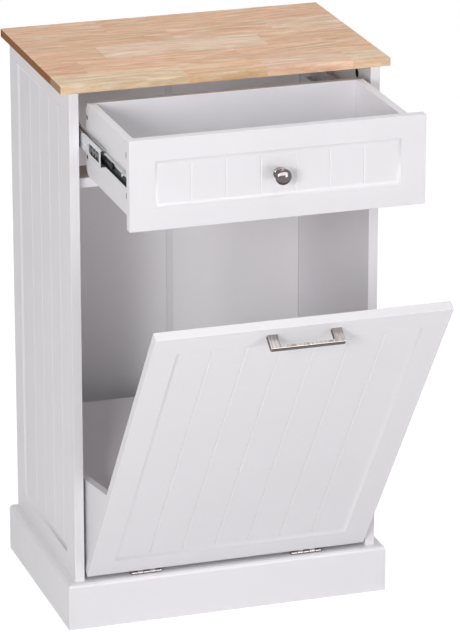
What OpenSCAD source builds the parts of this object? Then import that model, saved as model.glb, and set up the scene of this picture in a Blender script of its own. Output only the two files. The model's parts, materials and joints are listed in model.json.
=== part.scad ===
// Trash bin cabinet with a tilting door that carries a bin tray, and one drawer above it
// The origin is on the floor, under the middle of the front skirting board
// X runs to the right, Y to the back and Z up, in millimetres
// The door is drawn tilted out and the drawer pulled out, as the cabinet stands open

/* [Cabinet] */
// Width of the cabinet over its side panels
carcass_w = 480; // [440:5:560]
// Depth of the side panels
carcass_d = 330; // [325:5:400]
// Height from the floor to the top of the worktop
overall_h = 853; // [820:1:920]
// Thickness of the painted boards
board_t = 15; // [14:1:19]
// Height of the skirting
plinth_h = 73; // [60:1:100]
// Thickness of the skirting
plinth_t = 14; // [12:1:18]
// Radius of the skirting's upper outer edge
plinth_r = 6; // [2:0.5:10]
// Thickness of the back panels
back_t = 4; // [3:0.5:5]
// Distance from the back panels to the rear edges of the sides
back_inset = 5; // [4:1:14]
// Place of the seam between the two back panels, from the middle
seam_x = 11; // [-20:1:40]
// Width of the strip that joins the back panels
seam_strip_w = 10; // [8:1:20]

/* [Worktop] */
// Thickness of the worktop
top_t = 13; // [12:1:30]
// How far the worktop passes each side panel
top_side_overhang = 14; // [5:1:30]
// How far the worktop passes the front edges of the sides
top_front_overhang = 7; // [2:1:20]
// Radius of the worktop's long edges
top_edge_r = 2.5; // [1:0.5:5]

/* [Fronts] */
// Gap between each front and the side panels
front_side_gap = 3.5; // [2:0.5:6]
// Gap between the drawer front and the worktop
front_top_gap = 5; // [3:0.5:10]
// Gap between the door and the drawer front
front_between_gap = 3; // [2:0.5:6]
// Height of the drawer front
drawer_front_h = 134; // [128:1:150]
// Distance from a front's sides to its routed field
field_side_margin = 37.5; // [30:0.5:50]
// Distance from the door's upper and lower edges to its routed field
door_field_margin = 38; // [36:0.5:60]
// Distance from the drawer front's edges to its routed field
drawer_field_margin = 32; // [28:0.5:40]
// Distance from a side panel's edges to its routed field
panel_field_margin = 44; // [36:1:60]
// Distance from the top of the side panel to its routed field
panel_field_top_margin = 32; // [25:1:60]
// Distance from the skirting to the side panel's routed field
panel_field_low_margin = 31; // [25:1:60]
// Depth of the routed fields
field_depth = 3.5; // [1.5:0.25:3.5]
// Width of the hollow slope around a routed field
field_slope = 7; // [4:0.5:8]
// Distance between the grooves that mark the boards
groove_pitch = 51.7; // [40:0.1:60]
// Width of these grooves
groove_w = 2.6; // [1.5:0.1:4]
// Depth of these grooves below the field
groove_depth = 1.4; // [0.8:0.1:2]

/* [Door and bin tray] */
// How far the door is tilted out, in degrees
door_tilt = 36; // [0:1:36]
// Thickness of the bin tray's boards
tray_t = 12; // [10:1:15]
// Depth of the bin tray behind the door
tray_d = 290; // [200:5:290]
// Height of the bin tray's side cheeks at the door
cheek_h = 202; // [150:1:250]
// Depth of the cheeks behind the door
cheek_d = 190; // [150:1:200]
// Distance from the door's sides to the cheeks
cheek_inset = 2; // [1:0.5:6]

/* [Pull and knob] */
// Distance between the screws of the bar pull
pull_pitch = 96; // [64:1:128]
// Width of the pull's legs
pull_leg_w = 15; // [10:1:20]
// Height of the pull's bar and legs
pull_h = 8; // [6:0.5:12]
// How far the pull stands out
pull_reach = 24; // [20:1:32]
// Thickness of the pull's bar
pull_bar_t = 5; // [4:0.5:7]
// Distance from the door's upper edge to the middle of the pull
pull_from_top = 18; // [14:1:30]
// Diameter of the knob's head
knob_d = 24; // [20:1:32]
// How far the knob stands out
knob_reach = 25; // [22:1:32]

/* [Drawer] */
// How far the drawer is pulled out
drawer_out = 244; // [0:1:244]
// Thickness of the drawer box's boards
drawer_t = 12; // [10:1:15]
// Height of the drawer box
drawer_box_h = 110; // [104:1:112]
// Distance from the drawer front's lower edge to the box
drawer_box_rise = 12; // [10:1:14]
// Length of the drawer sides
drawer_side_l = 235; // [215:5:250]
// Thickness of the drawer bottom
drawer_bottom_t = 3; // [2.5:0.5:5]
// Height of the drawer bottom above the lower edges of the sides
drawer_bottom_rise = 9; // [6:1:14]
// Clipped rear corners of the drawer sides
side_clip = 8; // [3:1:10]

/* [Rail] */
// Depth of the rail under the drawer
rail_d = 61; // [40:1:100]
// Gap from the closed fronts to the rail
rail_front_gap = 2; // [1:0.5:4]
// Gap from the rail to the drawer box
rail_drawer_gap = 9; // [6:1:12]

/* [Slides] */
// Length of the slide members
slide_l = 250; // [245:5:255]
// Width of the gap that a slide fills
slide_gap = 12.5; // [12.5:0.1:13]
// Distance from the fronts' faces to the closed slides
slide_setback = 20; // [18:1:24]
// Thickness of the slide steel
slide_steel = 1.2; // [1:0.1:1.4]
// Height of the cabinet member
slide_h_cabinet = 35; // [34:0.5:37]
// Height of the middle member
slide_h_middle = 27; // [26.5:0.1:28]
// Height of the drawer member
slide_h_drawer = 19; // [18:0.1:19.4]
// Diameter of the slide balls
ball_d = 2.2; // [1.8:0.1:2.3]

/* [Hinges] */
// Length of a hinge
hinge_l = 48; // [40:1:60]
// Distance from the middle to each hinge
hinge_x = 128; // [90:1:160]
// Thickness of the hinge leaves
leaf_t = 1.2; // [1:0.1:1.4]
// Radius of the hinge knuckles
knuckle_r = 2.2; // [2:0.1:2.4]
// Radius of the hinge pins
pin_r = 1; // [0.8:0.1:1.2]
// Gap under the door that the hinges fill
hinge_gap = 5; // [5:0.1:6]

/* [Fasteners] */
// Diameter of the cam locks
cam_d = 15; // [12:1:15]
// Distance from a board's edge to its cam locks
cam_edge = 26; // [22:1:34]
// Diameter of the cam bolts' shanks
bolt_d = 5; // [4:0.5:6]
// Diameter of the wooden dowels
dowel_d = 6; // [5:1:8]
// Length of the wooden dowels
dowel_l = 28; // [24:1:34]
// Diameter of the screws' shanks
screw_d = 3.5; // [3:0.1:4]

/* [Hidden] */
$fn = 48;
eps = 0.01;
// Depth of the cam locks' bores, their discs' clearance in them and the discs' recess
cam_depth = 12;
drawer_cam_depth = 10;
cam_clear = 0.1;
cam_recess = 0.4;
// How far a cam bolt passes the middle of its lock, and how deep it holds in the other board
bolt_past = 3;
bolt_in_top = 8;
bolt_in_side = 10;
bolt_in_front = 9;
// How deep a dowel and a screw go into the face of the board that they meet
dowel_in = 9;
screw_in = 10;
// Screws of the pull and the knob, and their heads
handle_screw_d = 4;
handle_head_d = 8.5;
handle_head_t = 2.4;
// Play of a hinge pin in its knuckles
pin_play = 0.05;
// Gap from the knuckles to the door's face plane, and from there to the leaf's plate
knuckle_gap = 0.2;
// Play between neighbouring knuckles
knuckle_play = 0.35;

inner_w = carcass_w - 2 * board_t;
inner_x = inner_w / 2;
top_w = carcass_w + 2 * top_side_overhang;
underside_z = overall_h - top_t;
// The fronts' faces, flush with the front edges of the sides
front_y = plinth_t / 2;
back_y = front_y + carcass_d;
back_panel_y = back_y - back_inset - back_t;
groove_in = 6;
top_groove_in = 4;
back_foot_z = plinth_h - board_t;

front_w = inner_w - 2 * front_side_gap;
drawer_front_top = underside_z - front_top_gap;
drawer_front_low = drawer_front_top - drawer_front_h;
door_low = plinth_h + hinge_gap;
door_h = drawer_front_low - front_between_gap - door_low;

// The hinge pins lie in front of the door's lower edge
pin_y = front_y - knuckle_r - knuckle_gap;
pin_z = plinth_h + hinge_gap / 2;

drawer_box_low = drawer_front_low + drawer_box_rise;
drawer_box_top = drawer_box_low + drawer_box_h;
drawer_box_x = inner_x - slide_gap;
drawer_side_y = front_y + board_t;
drawer_rear_y = drawer_side_y + drawer_side_l;
drawer_bottom_z = drawer_box_low + drawer_bottom_rise;
bottom_groove_in = 5;
slide_z = (drawer_box_low + drawer_box_top) / 2;
slide_y = front_y + slide_setback;

rail_y = front_y + board_t + rail_front_gap;
rail_top = drawer_box_low - rail_drawer_gap;

tray_y = board_t;
cheek_x = front_w / 2 - cheek_inset;

// Places of the fasteners along the boards
side_cam_ys = [front_y + 60, back_y - 60];
side_dowel_ys = [front_y + 92, back_y - 92];
floor_cam_ys = [front_y + 50, back_y - 70];
floor_dowel_ys = [front_y + 85, back_y - 105];
rail_cam_y = rail_y + 18;
rail_dowel_y = rail_y + rail_d - 16;
skirting_dowel_zs = [18, plinth_h - 22];
skirting_screw_ys = [front_y + 70, back_y - 60];
skirting_screw_z = plinth_h / 2 - 8;
nail_xs = (inner_x - 35) * [-1, -0.6, -0.2, 0.3, 0.65, 1];
drawer_cam_zs = [slide_z - 27, slide_z + 33];
drawer_cam_in = 26;
slide_screw_steps = [12, slide_l / 2 + 20, slide_l - 16];
tray_screw_steps = [45, 140];
tray_dowel_x = hinge_x - hinge_l / 2 - 20;
tray_dowel_xs = [-tray_dowel_x, 0, tray_dowel_x];
cheek_dowel_zs = [60, 150];

wood_white = "#eceaec";
panel_white = "#e4e2e4";
rubberwood = "#dcb48a";
steel = "#b4b6b8";
dark_steel = "#6c6e70";
black_plastic = "#222224";
nickel = "#bdb6ae";
beech = "#d2ae80";

// Round bars along each axis, given by their two ends
module bar_x(x0, x1, y, z, d) {
    translate([min(x0, x1), y, z]) rotate([0, 90, 0]) cylinder(h = abs(x1 - x0), d = d);
}
module bar_y(y0, y1, x, z, d) {
    translate([x, max(y0, y1), z]) rotate([90, 0, 0]) cylinder(h = abs(y1 - y0), d = d);
}
module bar_z(z0, z1, x, y, d) {
    translate([x, y, min(z0, z1)]) cylinder(h = abs(z1 - z0), d = d);
}

// A box given by its two corners
module block(low, high) {
    translate(low) cube(high - low);
}

// A flat outline in Y and Z, drawn from x0 to x1
module along_x(x0, x1) {
    translate([x0, 0, 0]) rotate([90, 0, 90]) linear_extrude(x1 - x0) children();
}

// A flat outline in X and Z, drawn from y0 to y1
module along_y(y0, y1) {
    translate([0, y1, 0]) rotate([90, 0, 0]) linear_extrude(y1 - y0) children();
}

// A rectangle from low to high with rounded corners
module round_rect(low, high, r) {
    translate([low.x + r, low.y]) square([high.x - low.x - 2 * r, high.y - low.y]);
    translate([low.x, low.y + r]) square([high.x - low.x, high.y - low.y - 2 * r]);
    for (x = [low.x + r, high.x - r], y = [low.y + r, high.y - r])
        translate([x, y]) circle(r);
}

// The round-nosed cutter leaves a hollow that is steep at the face and runs out into the field.
// Its points are given as distance from the field's edge and depth, from the face inwards
cove_r = (pow(field_slope, 2) + pow(field_depth, 2)) / (2 * field_depth);
cove_angle = asin(field_slope / cove_r);
cove_steps = 5;
cove = [for (i = [0 : cove_steps])
    let (a = cove_angle * (1 - i / cove_steps))
    [field_slope - cove_r * sin(a), field_depth - cove_r * (1 - cos(a))]];

// The space that the router takes from a face in the plane y = 0, seen from in front.
// The field is w wide about x = 0 and starts at z = 0, and its grooves stand at grooves_x
module routed_field(w, h, grooves_x) {
    back = [for (i = [cove_steps : -1 : 0]) cove[i]];
    intersection() {
        linear_extrude(h)
            polygon(concat([[-w / 2, -1], [w / 2, -1]], [for (p = cove) [w / 2 - p.x, p.y]],
                [for (p = back) [p.x - w / 2, p.y]]));
        along_x(-w / 2, w / 2)
            polygon(concat([[-1, h], [-1, 0]], [for (p = cove) [p.y, p.x]],
                [for (p = back) [p.y, h - p.x]]));
    }
    for (x = grooves_x)
        translate([x, field_depth, field_slope])
            linear_extrude(h - 2 * field_slope)
                polygon([[-groove_w / 2, -eps], [groove_w / 2, -eps], [0, groove_depth]]);
}

// Groove places about the middle of a front, within its field
function centred_grooves(w) =
    let (half = floor((w / 2 - field_slope - 6) / groove_pitch - 0.5))
    [for (i = [-half - 1 : half]) (i + 0.5) * groove_pitch];

// Draws the left piece, or its mirror image on the right
module on_side(right) {
    if (right) mirror([1, 0, 0]) children();
    else children();
}

// Draws on both sides
module both_sides() {
    children();
    mirror([1, 0, 0]) children();
}

// Carries what is drawn for the closed drawer to where the drawer is
module at_drawer(share = 1) {
    translate([0, -drawer_out * share, 0]) children();
}

// Carries what is drawn on the upright door, whose face is at y = 0 and foot at z = 0
module at_door() {
    translate([0, pin_y, pin_z])
        rotate([door_tilt, 0, 0])
            translate([0, front_y - pin_y, door_low - pin_z])
                children();
}

// Worktop of solid wood, with rounded edges and a groove for the back panels
module top_board() {
    y0 = front_y - top_front_overhang;
    color(rubberwood) difference() {
        intersection() {
            along_x(-top_w / 2, top_w / 2)
                round_rect([y0, underside_z], [back_y, overall_h], top_edge_r);
            along_y(y0, back_y)
                round_rect([-top_w / 2, underside_z], [top_w / 2, overall_h], top_edge_r);
        }
        block([-inner_x - groove_in, back_panel_y, underside_z - 1],
            [inner_x + groove_in, back_panel_y + back_t, underside_z + top_groove_in]);
        both_sides() {
            for (y = side_cam_ys) side_bolt(y);
            for (y = side_dowel_ys) side_dowel(y);
        }
    }
}

// Fasteners between the worktop and the left side panel
module side_bolt(y) {
    bar_z(underside_z - cam_edge + bolt_past, underside_z + bolt_in_top, -inner_x - board_t / 2, y, bolt_d);
}
module side_dowel(y) {
    bar_z(underside_z + dowel_in - dowel_l, underside_z + dowel_in, -inner_x - board_t / 2, y, dowel_d);
}

// Fasteners between the bottom panel or the rail and the left side panel
module shelf_bolt(y, z) {
    bar_x(-inner_x - bolt_in_side, -inner_x + cam_edge - bolt_past, y, z, bolt_d);
}
module shelf_dowel(y, z) {
    bar_x(-inner_x - dowel_in, -inner_x - dowel_in + dowel_l, y, z, dowel_d);
}

// Dowels from the front skirting into the left side panel's front edge
module skirting_dowel(z) {
    bar_y(front_y - dowel_in, front_y - dowel_in + dowel_l, -inner_x - board_t / 2, z, dowel_d);
}

// A screw through the left side panel into the skirting beside it, with its head inside
module skirting_screw(y) {
    bar_x(-carcass_w / 2 - screw_in, -inner_x - 1, y, skirting_screw_z, screw_d);
    translate([-inner_x - 2, y, skirting_screw_z])
        rotate([0, 90, 0]) cylinder(h = 2, d1 = screw_d, d2 = screw_d + 4);
}

// A cam lock's bore on the inner face of the left side panel
module cam_bore_in_side(y) {
    bar_x(-inner_x - cam_depth, -inner_x, y, underside_z - cam_edge, cam_d);
}

module slide_screw_in_side(y) {
    bar_x(-inner_x - screw_in, -inner_x + slide_steel / 2, y, slide_z, screw_d);
    translate([-inner_x, y, slide_z])
        rotate([0, 90, 0]) cylinder(h = slide_steel, d1 = screw_d + 1, d2 = screw_d + 3.2);
}

// Side panel with its routed outer face, drawn on the left
module side_panel() {
    field_z = plinth_h + panel_field_low_margin;
    field_h = underside_z - panel_field_top_margin - field_z;
    field_w = carcass_d - 2 * panel_field_margin;
    // The boards are counted from the rear, and the last one is narrower
    flat_x = field_w / 2 - field_slope;
    grooves = [for (x = [groove_pitch - flat_x : groove_pitch : flat_x - 6]) x];
    color(wood_white) difference() {
        block([-carcass_w / 2, front_y, 0], [-inner_x, back_y, underside_z]);
        translate([-carcass_w / 2, (front_y + back_y) / 2, field_z])
            rotate([0, 0, -90]) routed_field(field_w, field_h, grooves);
        block([-inner_x - groove_in, back_panel_y, -1],
            [-inner_x + 1, back_panel_y + back_t, underside_z + 1]);
        for (y = side_cam_ys) {
            cam_bore_in_side(y);
            side_bolt(y);
        }
        for (y = side_dowel_ys) side_dowel(y);
        for (y = floor_cam_ys) shelf_bolt(y, plinth_h - board_t / 2);
        for (y = floor_dowel_ys) shelf_dowel(y, plinth_h - board_t / 2);
        shelf_bolt(rail_cam_y, rail_top - board_t / 2);
        shelf_dowel(rail_dowel_y, rail_top - board_t / 2);
        for (z = skirting_dowel_zs) skirting_dowel(z);
        for (y = skirting_screw_ys) skirting_screw(y);
        for (s = slide_screw_steps) slide_screw_in_side(slide_y + s);
    }
}
module left_side_panel() { side_panel(); }
module right_side_panel() { on_side(true) side_panel(); }

// The cam locks of the bottom panel and the rail sit in bores under the board
module cam_bore_in_shelf(y, z_low) {
    bar_z(z_low, z_low + cam_depth, -inner_x + cam_edge, y, cam_d);
}

module bottom_panel() {
    z = plinth_h - board_t;
    color(wood_white) difference() {
        block([-inner_x, front_y, z], [inner_x, back_panel_y, plinth_h]);
        both_sides() {
            for (y = floor_cam_ys) {
                cam_bore_in_shelf(y, z);
                shelf_bolt(y, z + board_t / 2);
            }
            for (y = floor_dowel_ys) shelf_dowel(y, z + board_t / 2);
            hinge_floor_screws();
        }
        for (x = nail_xs) back_nail(x);
    }
}

// Rail across the cabinet, under the drawer and behind the tops of the closed fronts
module drawer_rail() {
    z = rail_top - board_t;
    color(wood_white) difference() {
        block([-inner_x, rail_y, z], [inner_x, rail_y + rail_d, rail_top]);
        both_sides() {
            cam_bore_in_shelf(rail_cam_y, z);
            shelf_bolt(rail_cam_y, z + board_t / 2);
            shelf_dowel(rail_dowel_y, z + board_t / 2);
        }
    }
}

// Back panels in the grooves of the sides and the worktop, joined by a strip
seam_web = 1.6;
seam_skin = 1;
module back_panel(x0, x1) {
    color(panel_white) difference() {
        block([x0, back_panel_y, back_foot_z],
            [x1, back_panel_y + back_t, underside_z + top_groove_in]);
        for (x = nail_xs) back_nail(x);
    }
}
module left_back_panel() { back_panel(-inner_x - groove_in, seam_x - seam_web / 2); }
module right_back_panel() { back_panel(seam_x + seam_web / 2, inner_x + groove_in); }
module back_seam_strip() {
    z0 = plinth_h;
    z1 = underside_z;
    color(panel_white) {
        block([seam_x - seam_web / 2, back_panel_y, z0],
            [seam_x + seam_web / 2, back_panel_y + back_t, z1]);
        for (y = [back_panel_y - seam_skin, back_panel_y + back_t])
            block([seam_x - seam_strip_w / 2, y, z0], [seam_x + seam_strip_w / 2, y + seam_skin, z1]);
    }
}
module back_nail(x) {
    bar_y(back_panel_y - 14, back_panel_y + back_t, x, plinth_h - board_t / 2, 1.6);
}
module back_panel_nails() {
    color(steel) for (x = nail_xs) {
        back_nail(x);
        bar_y(back_panel_y + back_t, back_panel_y + back_t + 0.7, x, plinth_h - board_t / 2, 4);
    }
}

// Outline of the skirting across its thickness, outer face at 0 and back at plinth_t
module skirting_outline() {
    translate([plinth_r, 0]) square([plinth_t - plinth_r, plinth_h]);
    square([plinth_t, plinth_h - plinth_r]);
    translate([plinth_r, plinth_h - plinth_r]) circle(plinth_r);
}
module skirting_mitre(right) {
    // Keeps what lies behind the diagonal of the front left corner
    on_side(right)
        translate([-carcass_w / 2 - plinth_t, front_y - plinth_t, -1])
            linear_extrude(plinth_h + 2)
                polygon([[-1, -1], [carcass_d + 20, carcass_d + 20], [-1, carcass_d + 20]]);
}
module front_skirting() {
    color(wood_white) difference() {
        along_x(-carcass_w / 2 - plinth_t, carcass_w / 2 + plinth_t)
            translate([front_y - plinth_t, 0]) skirting_outline();
        skirting_mitre(false);
        skirting_mitre(true);
        both_sides() for (z = skirting_dowel_zs) skirting_dowel(z);
    }
}
module side_skirting() {
    color(wood_white) difference() {
        intersection() {
            along_y(front_y - plinth_t, back_y)
                translate([-carcass_w / 2 - plinth_t, 0]) skirting_outline();
            skirting_mitre(false);
        }
        for (y = skirting_screw_ys) skirting_screw(y);
    }
}
module left_skirting() { side_skirting(); }
module right_skirting() { on_side(true) side_skirting(); }

// Fasteners of the fixed cabinet
module carcass_dowels() {
    color(beech) both_sides() {
        for (y = side_dowel_ys) side_dowel(y);
        for (y = floor_dowel_ys) shelf_dowel(y, plinth_h - board_t / 2);
        shelf_dowel(rail_dowel_y, rail_top - board_t / 2);
        for (z = skirting_dowel_zs) skirting_dowel(z);
    }
}

// A cam lock disc about Z in a bore of this depth, open along +X for the bolt of a board
// of this thickness, with a screwdriver cross on its outer face
module cam_lock(depth, thickness) {
    h = depth - cam_recess;
    bolt_z = depth - thickness / 2;
    slot = bolt_d + 2 * cam_clear;
    difference() {
        cylinder(h = h, d = cam_d - 2 * cam_clear);
        translate([-cam_d / 4, -slot / 2, bolt_z - slot / 2]) cube([cam_d, slot, slot]);
        for (a = [45, 135])
            rotate([0, 0, a]) translate([-4, -0.7, h - 1.6]) cube([8, 1.4, 2]);
    }
}
module carcass_cam_locks() {
    shelf_top = [0, 0, cam_depth - board_t];
    color(dark_steel) both_sides() {
        for (y = side_cam_ys)
            translate([-inner_x - cam_depth, y, underside_z - cam_edge])
                rotate([0, 90, 0]) rotate([0, 0, 180]) cam_lock(cam_depth, board_t);
        for (y = floor_cam_ys)
            translate([-inner_x + cam_edge, y, plinth_h] + shelf_top)
                rotate([180, 0, 180]) cam_lock(cam_depth, board_t);
        translate([-inner_x + cam_edge, rail_cam_y, rail_top] + shelf_top)
            rotate([180, 0, 180]) cam_lock(cam_depth, board_t);
    }
}
module carcass_cam_bolts() {
    color(steel) both_sides() {
        for (y = side_cam_ys) side_bolt(y);
        for (y = floor_cam_ys) shelf_bolt(y, plinth_h - board_t / 2);
        shelf_bolt(rail_cam_y, rail_top - board_t / 2);
    }
}
module skirting_screws() {
    color(steel) both_sides() for (y = skirting_screw_ys) skirting_screw(y);
}

// Drawer front, drawn closed, with the grooves that the bottom and the bolts need
module drawer_front() {
    field_w = front_w - 2 * field_side_margin;
    field_h = drawer_front_h - 2 * drawer_field_margin;
    color(wood_white) at_drawer() difference() {
        block([-front_w / 2, front_y, drawer_front_low],
            [front_w / 2, front_y + board_t, drawer_front_top]);
        translate([0, front_y, drawer_front_low + drawer_field_margin])
            routed_field(field_w, field_h, centred_grooves(field_w));
        block([-drawer_box_x + drawer_t, drawer_side_y - bottom_groove_in, drawer_bottom_z],
            [drawer_box_x - drawer_t, drawer_side_y + 1, drawer_bottom_z + drawer_bottom_t]);
        both_sides() for (z = drawer_cam_zs) drawer_bolt(z);
        knob_bolt();
    }
}

module drawer_bolt(z) {
    bar_y(drawer_side_y - bolt_in_front, drawer_side_y + drawer_cam_in - bolt_past,
        -drawer_box_x + drawer_t / 2, z, bolt_d);
}
module drawer_back_screw(z) {
    y = drawer_rear_y - drawer_t / 2;
    bar_x(-drawer_box_x + 1, -drawer_box_x + 36, y, z, screw_d);
    translate([-drawer_box_x, y, z])
        rotate([0, 90, 0]) cylinder(h = 2, d1 = screw_d + 3.5, d2 = screw_d);
}
module slide_screw_in_drawer(y) {
    bar_x(-drawer_box_x, -drawer_box_x + 9, y, slide_z, screw_d);
    translate([-drawer_box_x - slide_steel, y, slide_z])
        rotate([0, 90, 0]) cylinder(h = slide_steel, d = screw_d);
}
drawer_screw_steps = [12, 40, drawer_side_l - 20];

// Drawer side, drawn on the left, with clipped rear corners
module drawer_side() {
    y1 = drawer_rear_y;
    color(wood_white) at_drawer() difference() {
        along_x(-drawer_box_x, -drawer_box_x + drawer_t)
            polygon([[drawer_side_y, drawer_box_low], [y1 - side_clip, drawer_box_low],
                [y1, drawer_box_low + side_clip], [y1, drawer_box_top - side_clip],
                [y1 - side_clip, drawer_box_top], [drawer_side_y, drawer_box_top]]);
        block([-drawer_box_x + drawer_t - bottom_groove_in, drawer_side_y - 1, drawer_bottom_z],
            [-drawer_box_x + drawer_t + 1, drawer_rear_y - drawer_t + bottom_groove_in,
                drawer_bottom_z + drawer_bottom_t]);
        for (z = drawer_cam_zs) {
            drawer_bolt(z);
            bar_x(-drawer_box_x, -drawer_box_x + drawer_cam_depth, drawer_side_y + drawer_cam_in, z, cam_d);
            drawer_back_screw(z);
        }
        for (s = drawer_screw_steps) slide_screw_in_drawer(slide_y + s);
    }
}
module left_drawer_side() { drawer_side(); }
module right_drawer_side() { on_side(true) drawer_side(); }

module drawer_back() {
    x = drawer_box_x - drawer_t;
    color(wood_white) at_drawer() difference() {
        block([-x, drawer_rear_y - drawer_t, drawer_box_low], [x, drawer_rear_y, drawer_box_top]);
        block([-x - 1, drawer_rear_y - drawer_t - 1, drawer_bottom_z],
            [x + 1, drawer_rear_y - drawer_t + bottom_groove_in, drawer_bottom_z + drawer_bottom_t]);
        both_sides() for (z = drawer_cam_zs) drawer_back_screw(z);
    }
}

module drawer_bottom() {
    x = drawer_box_x - drawer_t;
    color(panel_white) at_drawer() union() {
        block([-x - bottom_groove_in, drawer_side_y, drawer_bottom_z],
            [x + bottom_groove_in, drawer_rear_y - drawer_t, drawer_bottom_z + drawer_bottom_t]);
        block([-x, drawer_side_y - bottom_groove_in, drawer_bottom_z],
            [x, drawer_rear_y - drawer_t + bottom_groove_in, drawer_bottom_z + drawer_bottom_t]);
    }
}

module drawer_cam_locks() {
    color(dark_steel) at_drawer() both_sides() for (z = drawer_cam_zs)
        translate([-drawer_box_x + drawer_cam_depth, drawer_side_y + drawer_cam_in, z])
            rotate([0, -90, 0]) rotate([0, 0, -90]) cam_lock(drawer_cam_depth, drawer_t);
}
module drawer_cam_bolts() {
    color(steel) at_drawer() both_sides() for (z = drawer_cam_zs) drawer_bolt(z);
}
module drawer_back_screws() {
    color(steel) at_drawer() both_sides() for (z = drawer_cam_zs) drawer_back_screw(z);
}

// Knob of turned metal, its profile drawn from the face outwards
knob_z = (drawer_front_low + drawer_front_top) / 2;
knob_base_d = 18;
knob_waist_d = 11;
knob_foot_t = 1.6;
knob_flare = 5;
knob_head_l = 6;
module knob_bolt() {
    bar_y(front_y - screw_in, front_y + board_t, 0, knob_z, handle_screw_d);
}
module drawer_knob() {
    base_r = knob_base_d / 2;
    waist_r = knob_waist_d / 2;
    head_r = knob_d / 2;
    rim = knob_reach - knob_head_l;
    foot = [for (a = [0 : 10 : 90])
        [base_r - (base_r - waist_r) * sin(a), knob_foot_t + knob_flare * (1 - cos(a))]];
    under = [for (a = [0 : 10 : 90])
        [waist_r + (head_r - waist_r) * (1 - cos(a)), rim - knob_flare * (1 - sin(a))]];
    dome = [for (a = [0 : 10 : 90]) [head_r * cos(a), rim + knob_head_l * sin(a)]];
    color(nickel) at_drawer() difference() {
        translate([0, front_y, knob_z]) rotate([90, 0, 0])
            rotate_extrude($fn = 64) polygon(concat([[0, 0], [base_r, 0]], foot, under, dome));
        knob_bolt();
    }
}
module knob_screw() {
    color(steel) at_drawer() {
        knob_bolt();
        bar_y(front_y + board_t, front_y + board_t + handle_head_t, 0, knob_z, handle_head_d);
    }
}

// Slides, drawn on the left with X measured from the side panel and Z about the slide's middle.
// A member is a strip with two flanges, whose rims may turn inwards
module member_outline(x0, x1, h, rim_x, rim) {
    t = slide_steel;
    square_at(min(x0, x0 + sign(x1 - x0) * t), -h / 2, t, h);
    for (s = [-1, 1]) {
        square_at(min(x0, x1), s > 0 ? h / 2 - t : -h / 2, abs(x1 - x0), t);
        if (rim > 0)
            square_at(rim_x, s > 0 ? h / 2 - t - rim : -h / 2, t, t + rim);
    }
}
module square_at(x, z, w, h) {
    translate([x, z]) square([w, h]);
}
cabinet_reach = 9.5;
middle_x = 2.2;
middle_reach = 10.8;
drawer_flange_x = 7.5;
module on_left_slide(y0, y1) {
    translate([-inner_x, 0, slide_z]) along_y(y0, y1) children();
}

module cabinet_member() {
    color(steel) difference() {
        on_left_slide(slide_y, slide_y + slide_l)
            member_outline(0, cabinet_reach, slide_h_cabinet, cabinet_reach - slide_steel, 1.6);
        for (s = slide_screw_steps) slide_screw_in_side(slide_y + s);
    }
}

module middle_member() {
    window = [6, 58];
    color(steel) at_drawer(0.5) difference() {
        on_left_slide(slide_y, slide_y + slide_l)
            member_outline(middle_x, middle_reach, slide_h_middle, middle_reach - slide_steel, 1.5);
        block([-inner_x, slide_y + window[0], slide_z - 7.5],
            [-inner_x + middle_x + slide_steel + 0.3, slide_y + window[1], slide_z + 7.5]);
    }
}

module drawer_member() {
    color(steel) at_drawer() difference() {
        on_left_slide(slide_y, slide_y + slide_l)
            member_outline(slide_gap, drawer_flange_x, slide_h_drawer, 0, 0);
        for (s = drawer_screw_steps) slide_screw_in_drawer(slide_y + s);
    }
    color(steel) at_drawer()
        bar_x(-inner_x + lever_x - 0.6, -drawer_box_x - slide_steel, lever_y, slide_z, 2 * lever_rivet_r);
}

// Ball cages: a thin strip with two flanges that hold the balls in holes
cage_l = 80;
cage_t = 0.5;
module cage(share, y0, x0, x1, track, ball_x) {
    n = 6;
    step = (cage_l - 12) / (n - 1);
    steps = [for (i = [0 : n - 1]) 6 + i * step];
    color(steel) at_drawer(share) {
        difference() {
            on_left_slide(y0, y0 + cage_l) {
                square_at(x0, -track - cage_t / 2, cage_t, 2 * track + cage_t);
                for (s = [-1, 1]) square_at(x0, s * track - cage_t / 2, x1 - x0, cage_t);
            }
            for (s = steps)
                translate([-inner_x + ball_x, y0 + s, slide_z - track - 2])
                    cylinder(h = 2 * track + 4, d = ball_d + 0.3);
            for (i = [0 : n - 2])
                translate([-inner_x + x0 - 1, y0 + 6 + i * step, slide_z])
                    rotate([90, 0, 90]) linear_extrude(cage_t + 2)
                        polygon([[2, -track + 4], [step - 2, -track + 4], [step / 2, -1]]);
            for (i = [0 : n - 2])
                translate([-inner_x + x0 - 1, y0 + 6 + i * step, slide_z])
                    rotate([90, 0, 90]) linear_extrude(cage_t + 2)
                        polygon([[2, track - 4], [step / 2, 1], [step - 2, track - 4]]);
        }
        for (s = steps, side = [-1, 1])
            translate([-inner_x + ball_x, y0 + s, slide_z + side * track])
                sphere(d = ball_d);
    }
}
// The cages' places with the drawer closed
outer_cage_y = slide_y + 84;
inner_cage_y = slide_y + 70;
outer_track = (slide_h_cabinet + slide_h_middle) / 4 - slide_steel / 2;
inner_track = (slide_h_middle + slide_h_drawer) / 4 - slide_steel / 2;
module outer_cage() { cage(0.25, outer_cage_y, 1.45, 7.6, outer_track, 6.3); }
module inner_cage() { cage(0.75, inner_cage_y, 3.8, 9.2, inner_track, 8); }

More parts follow.
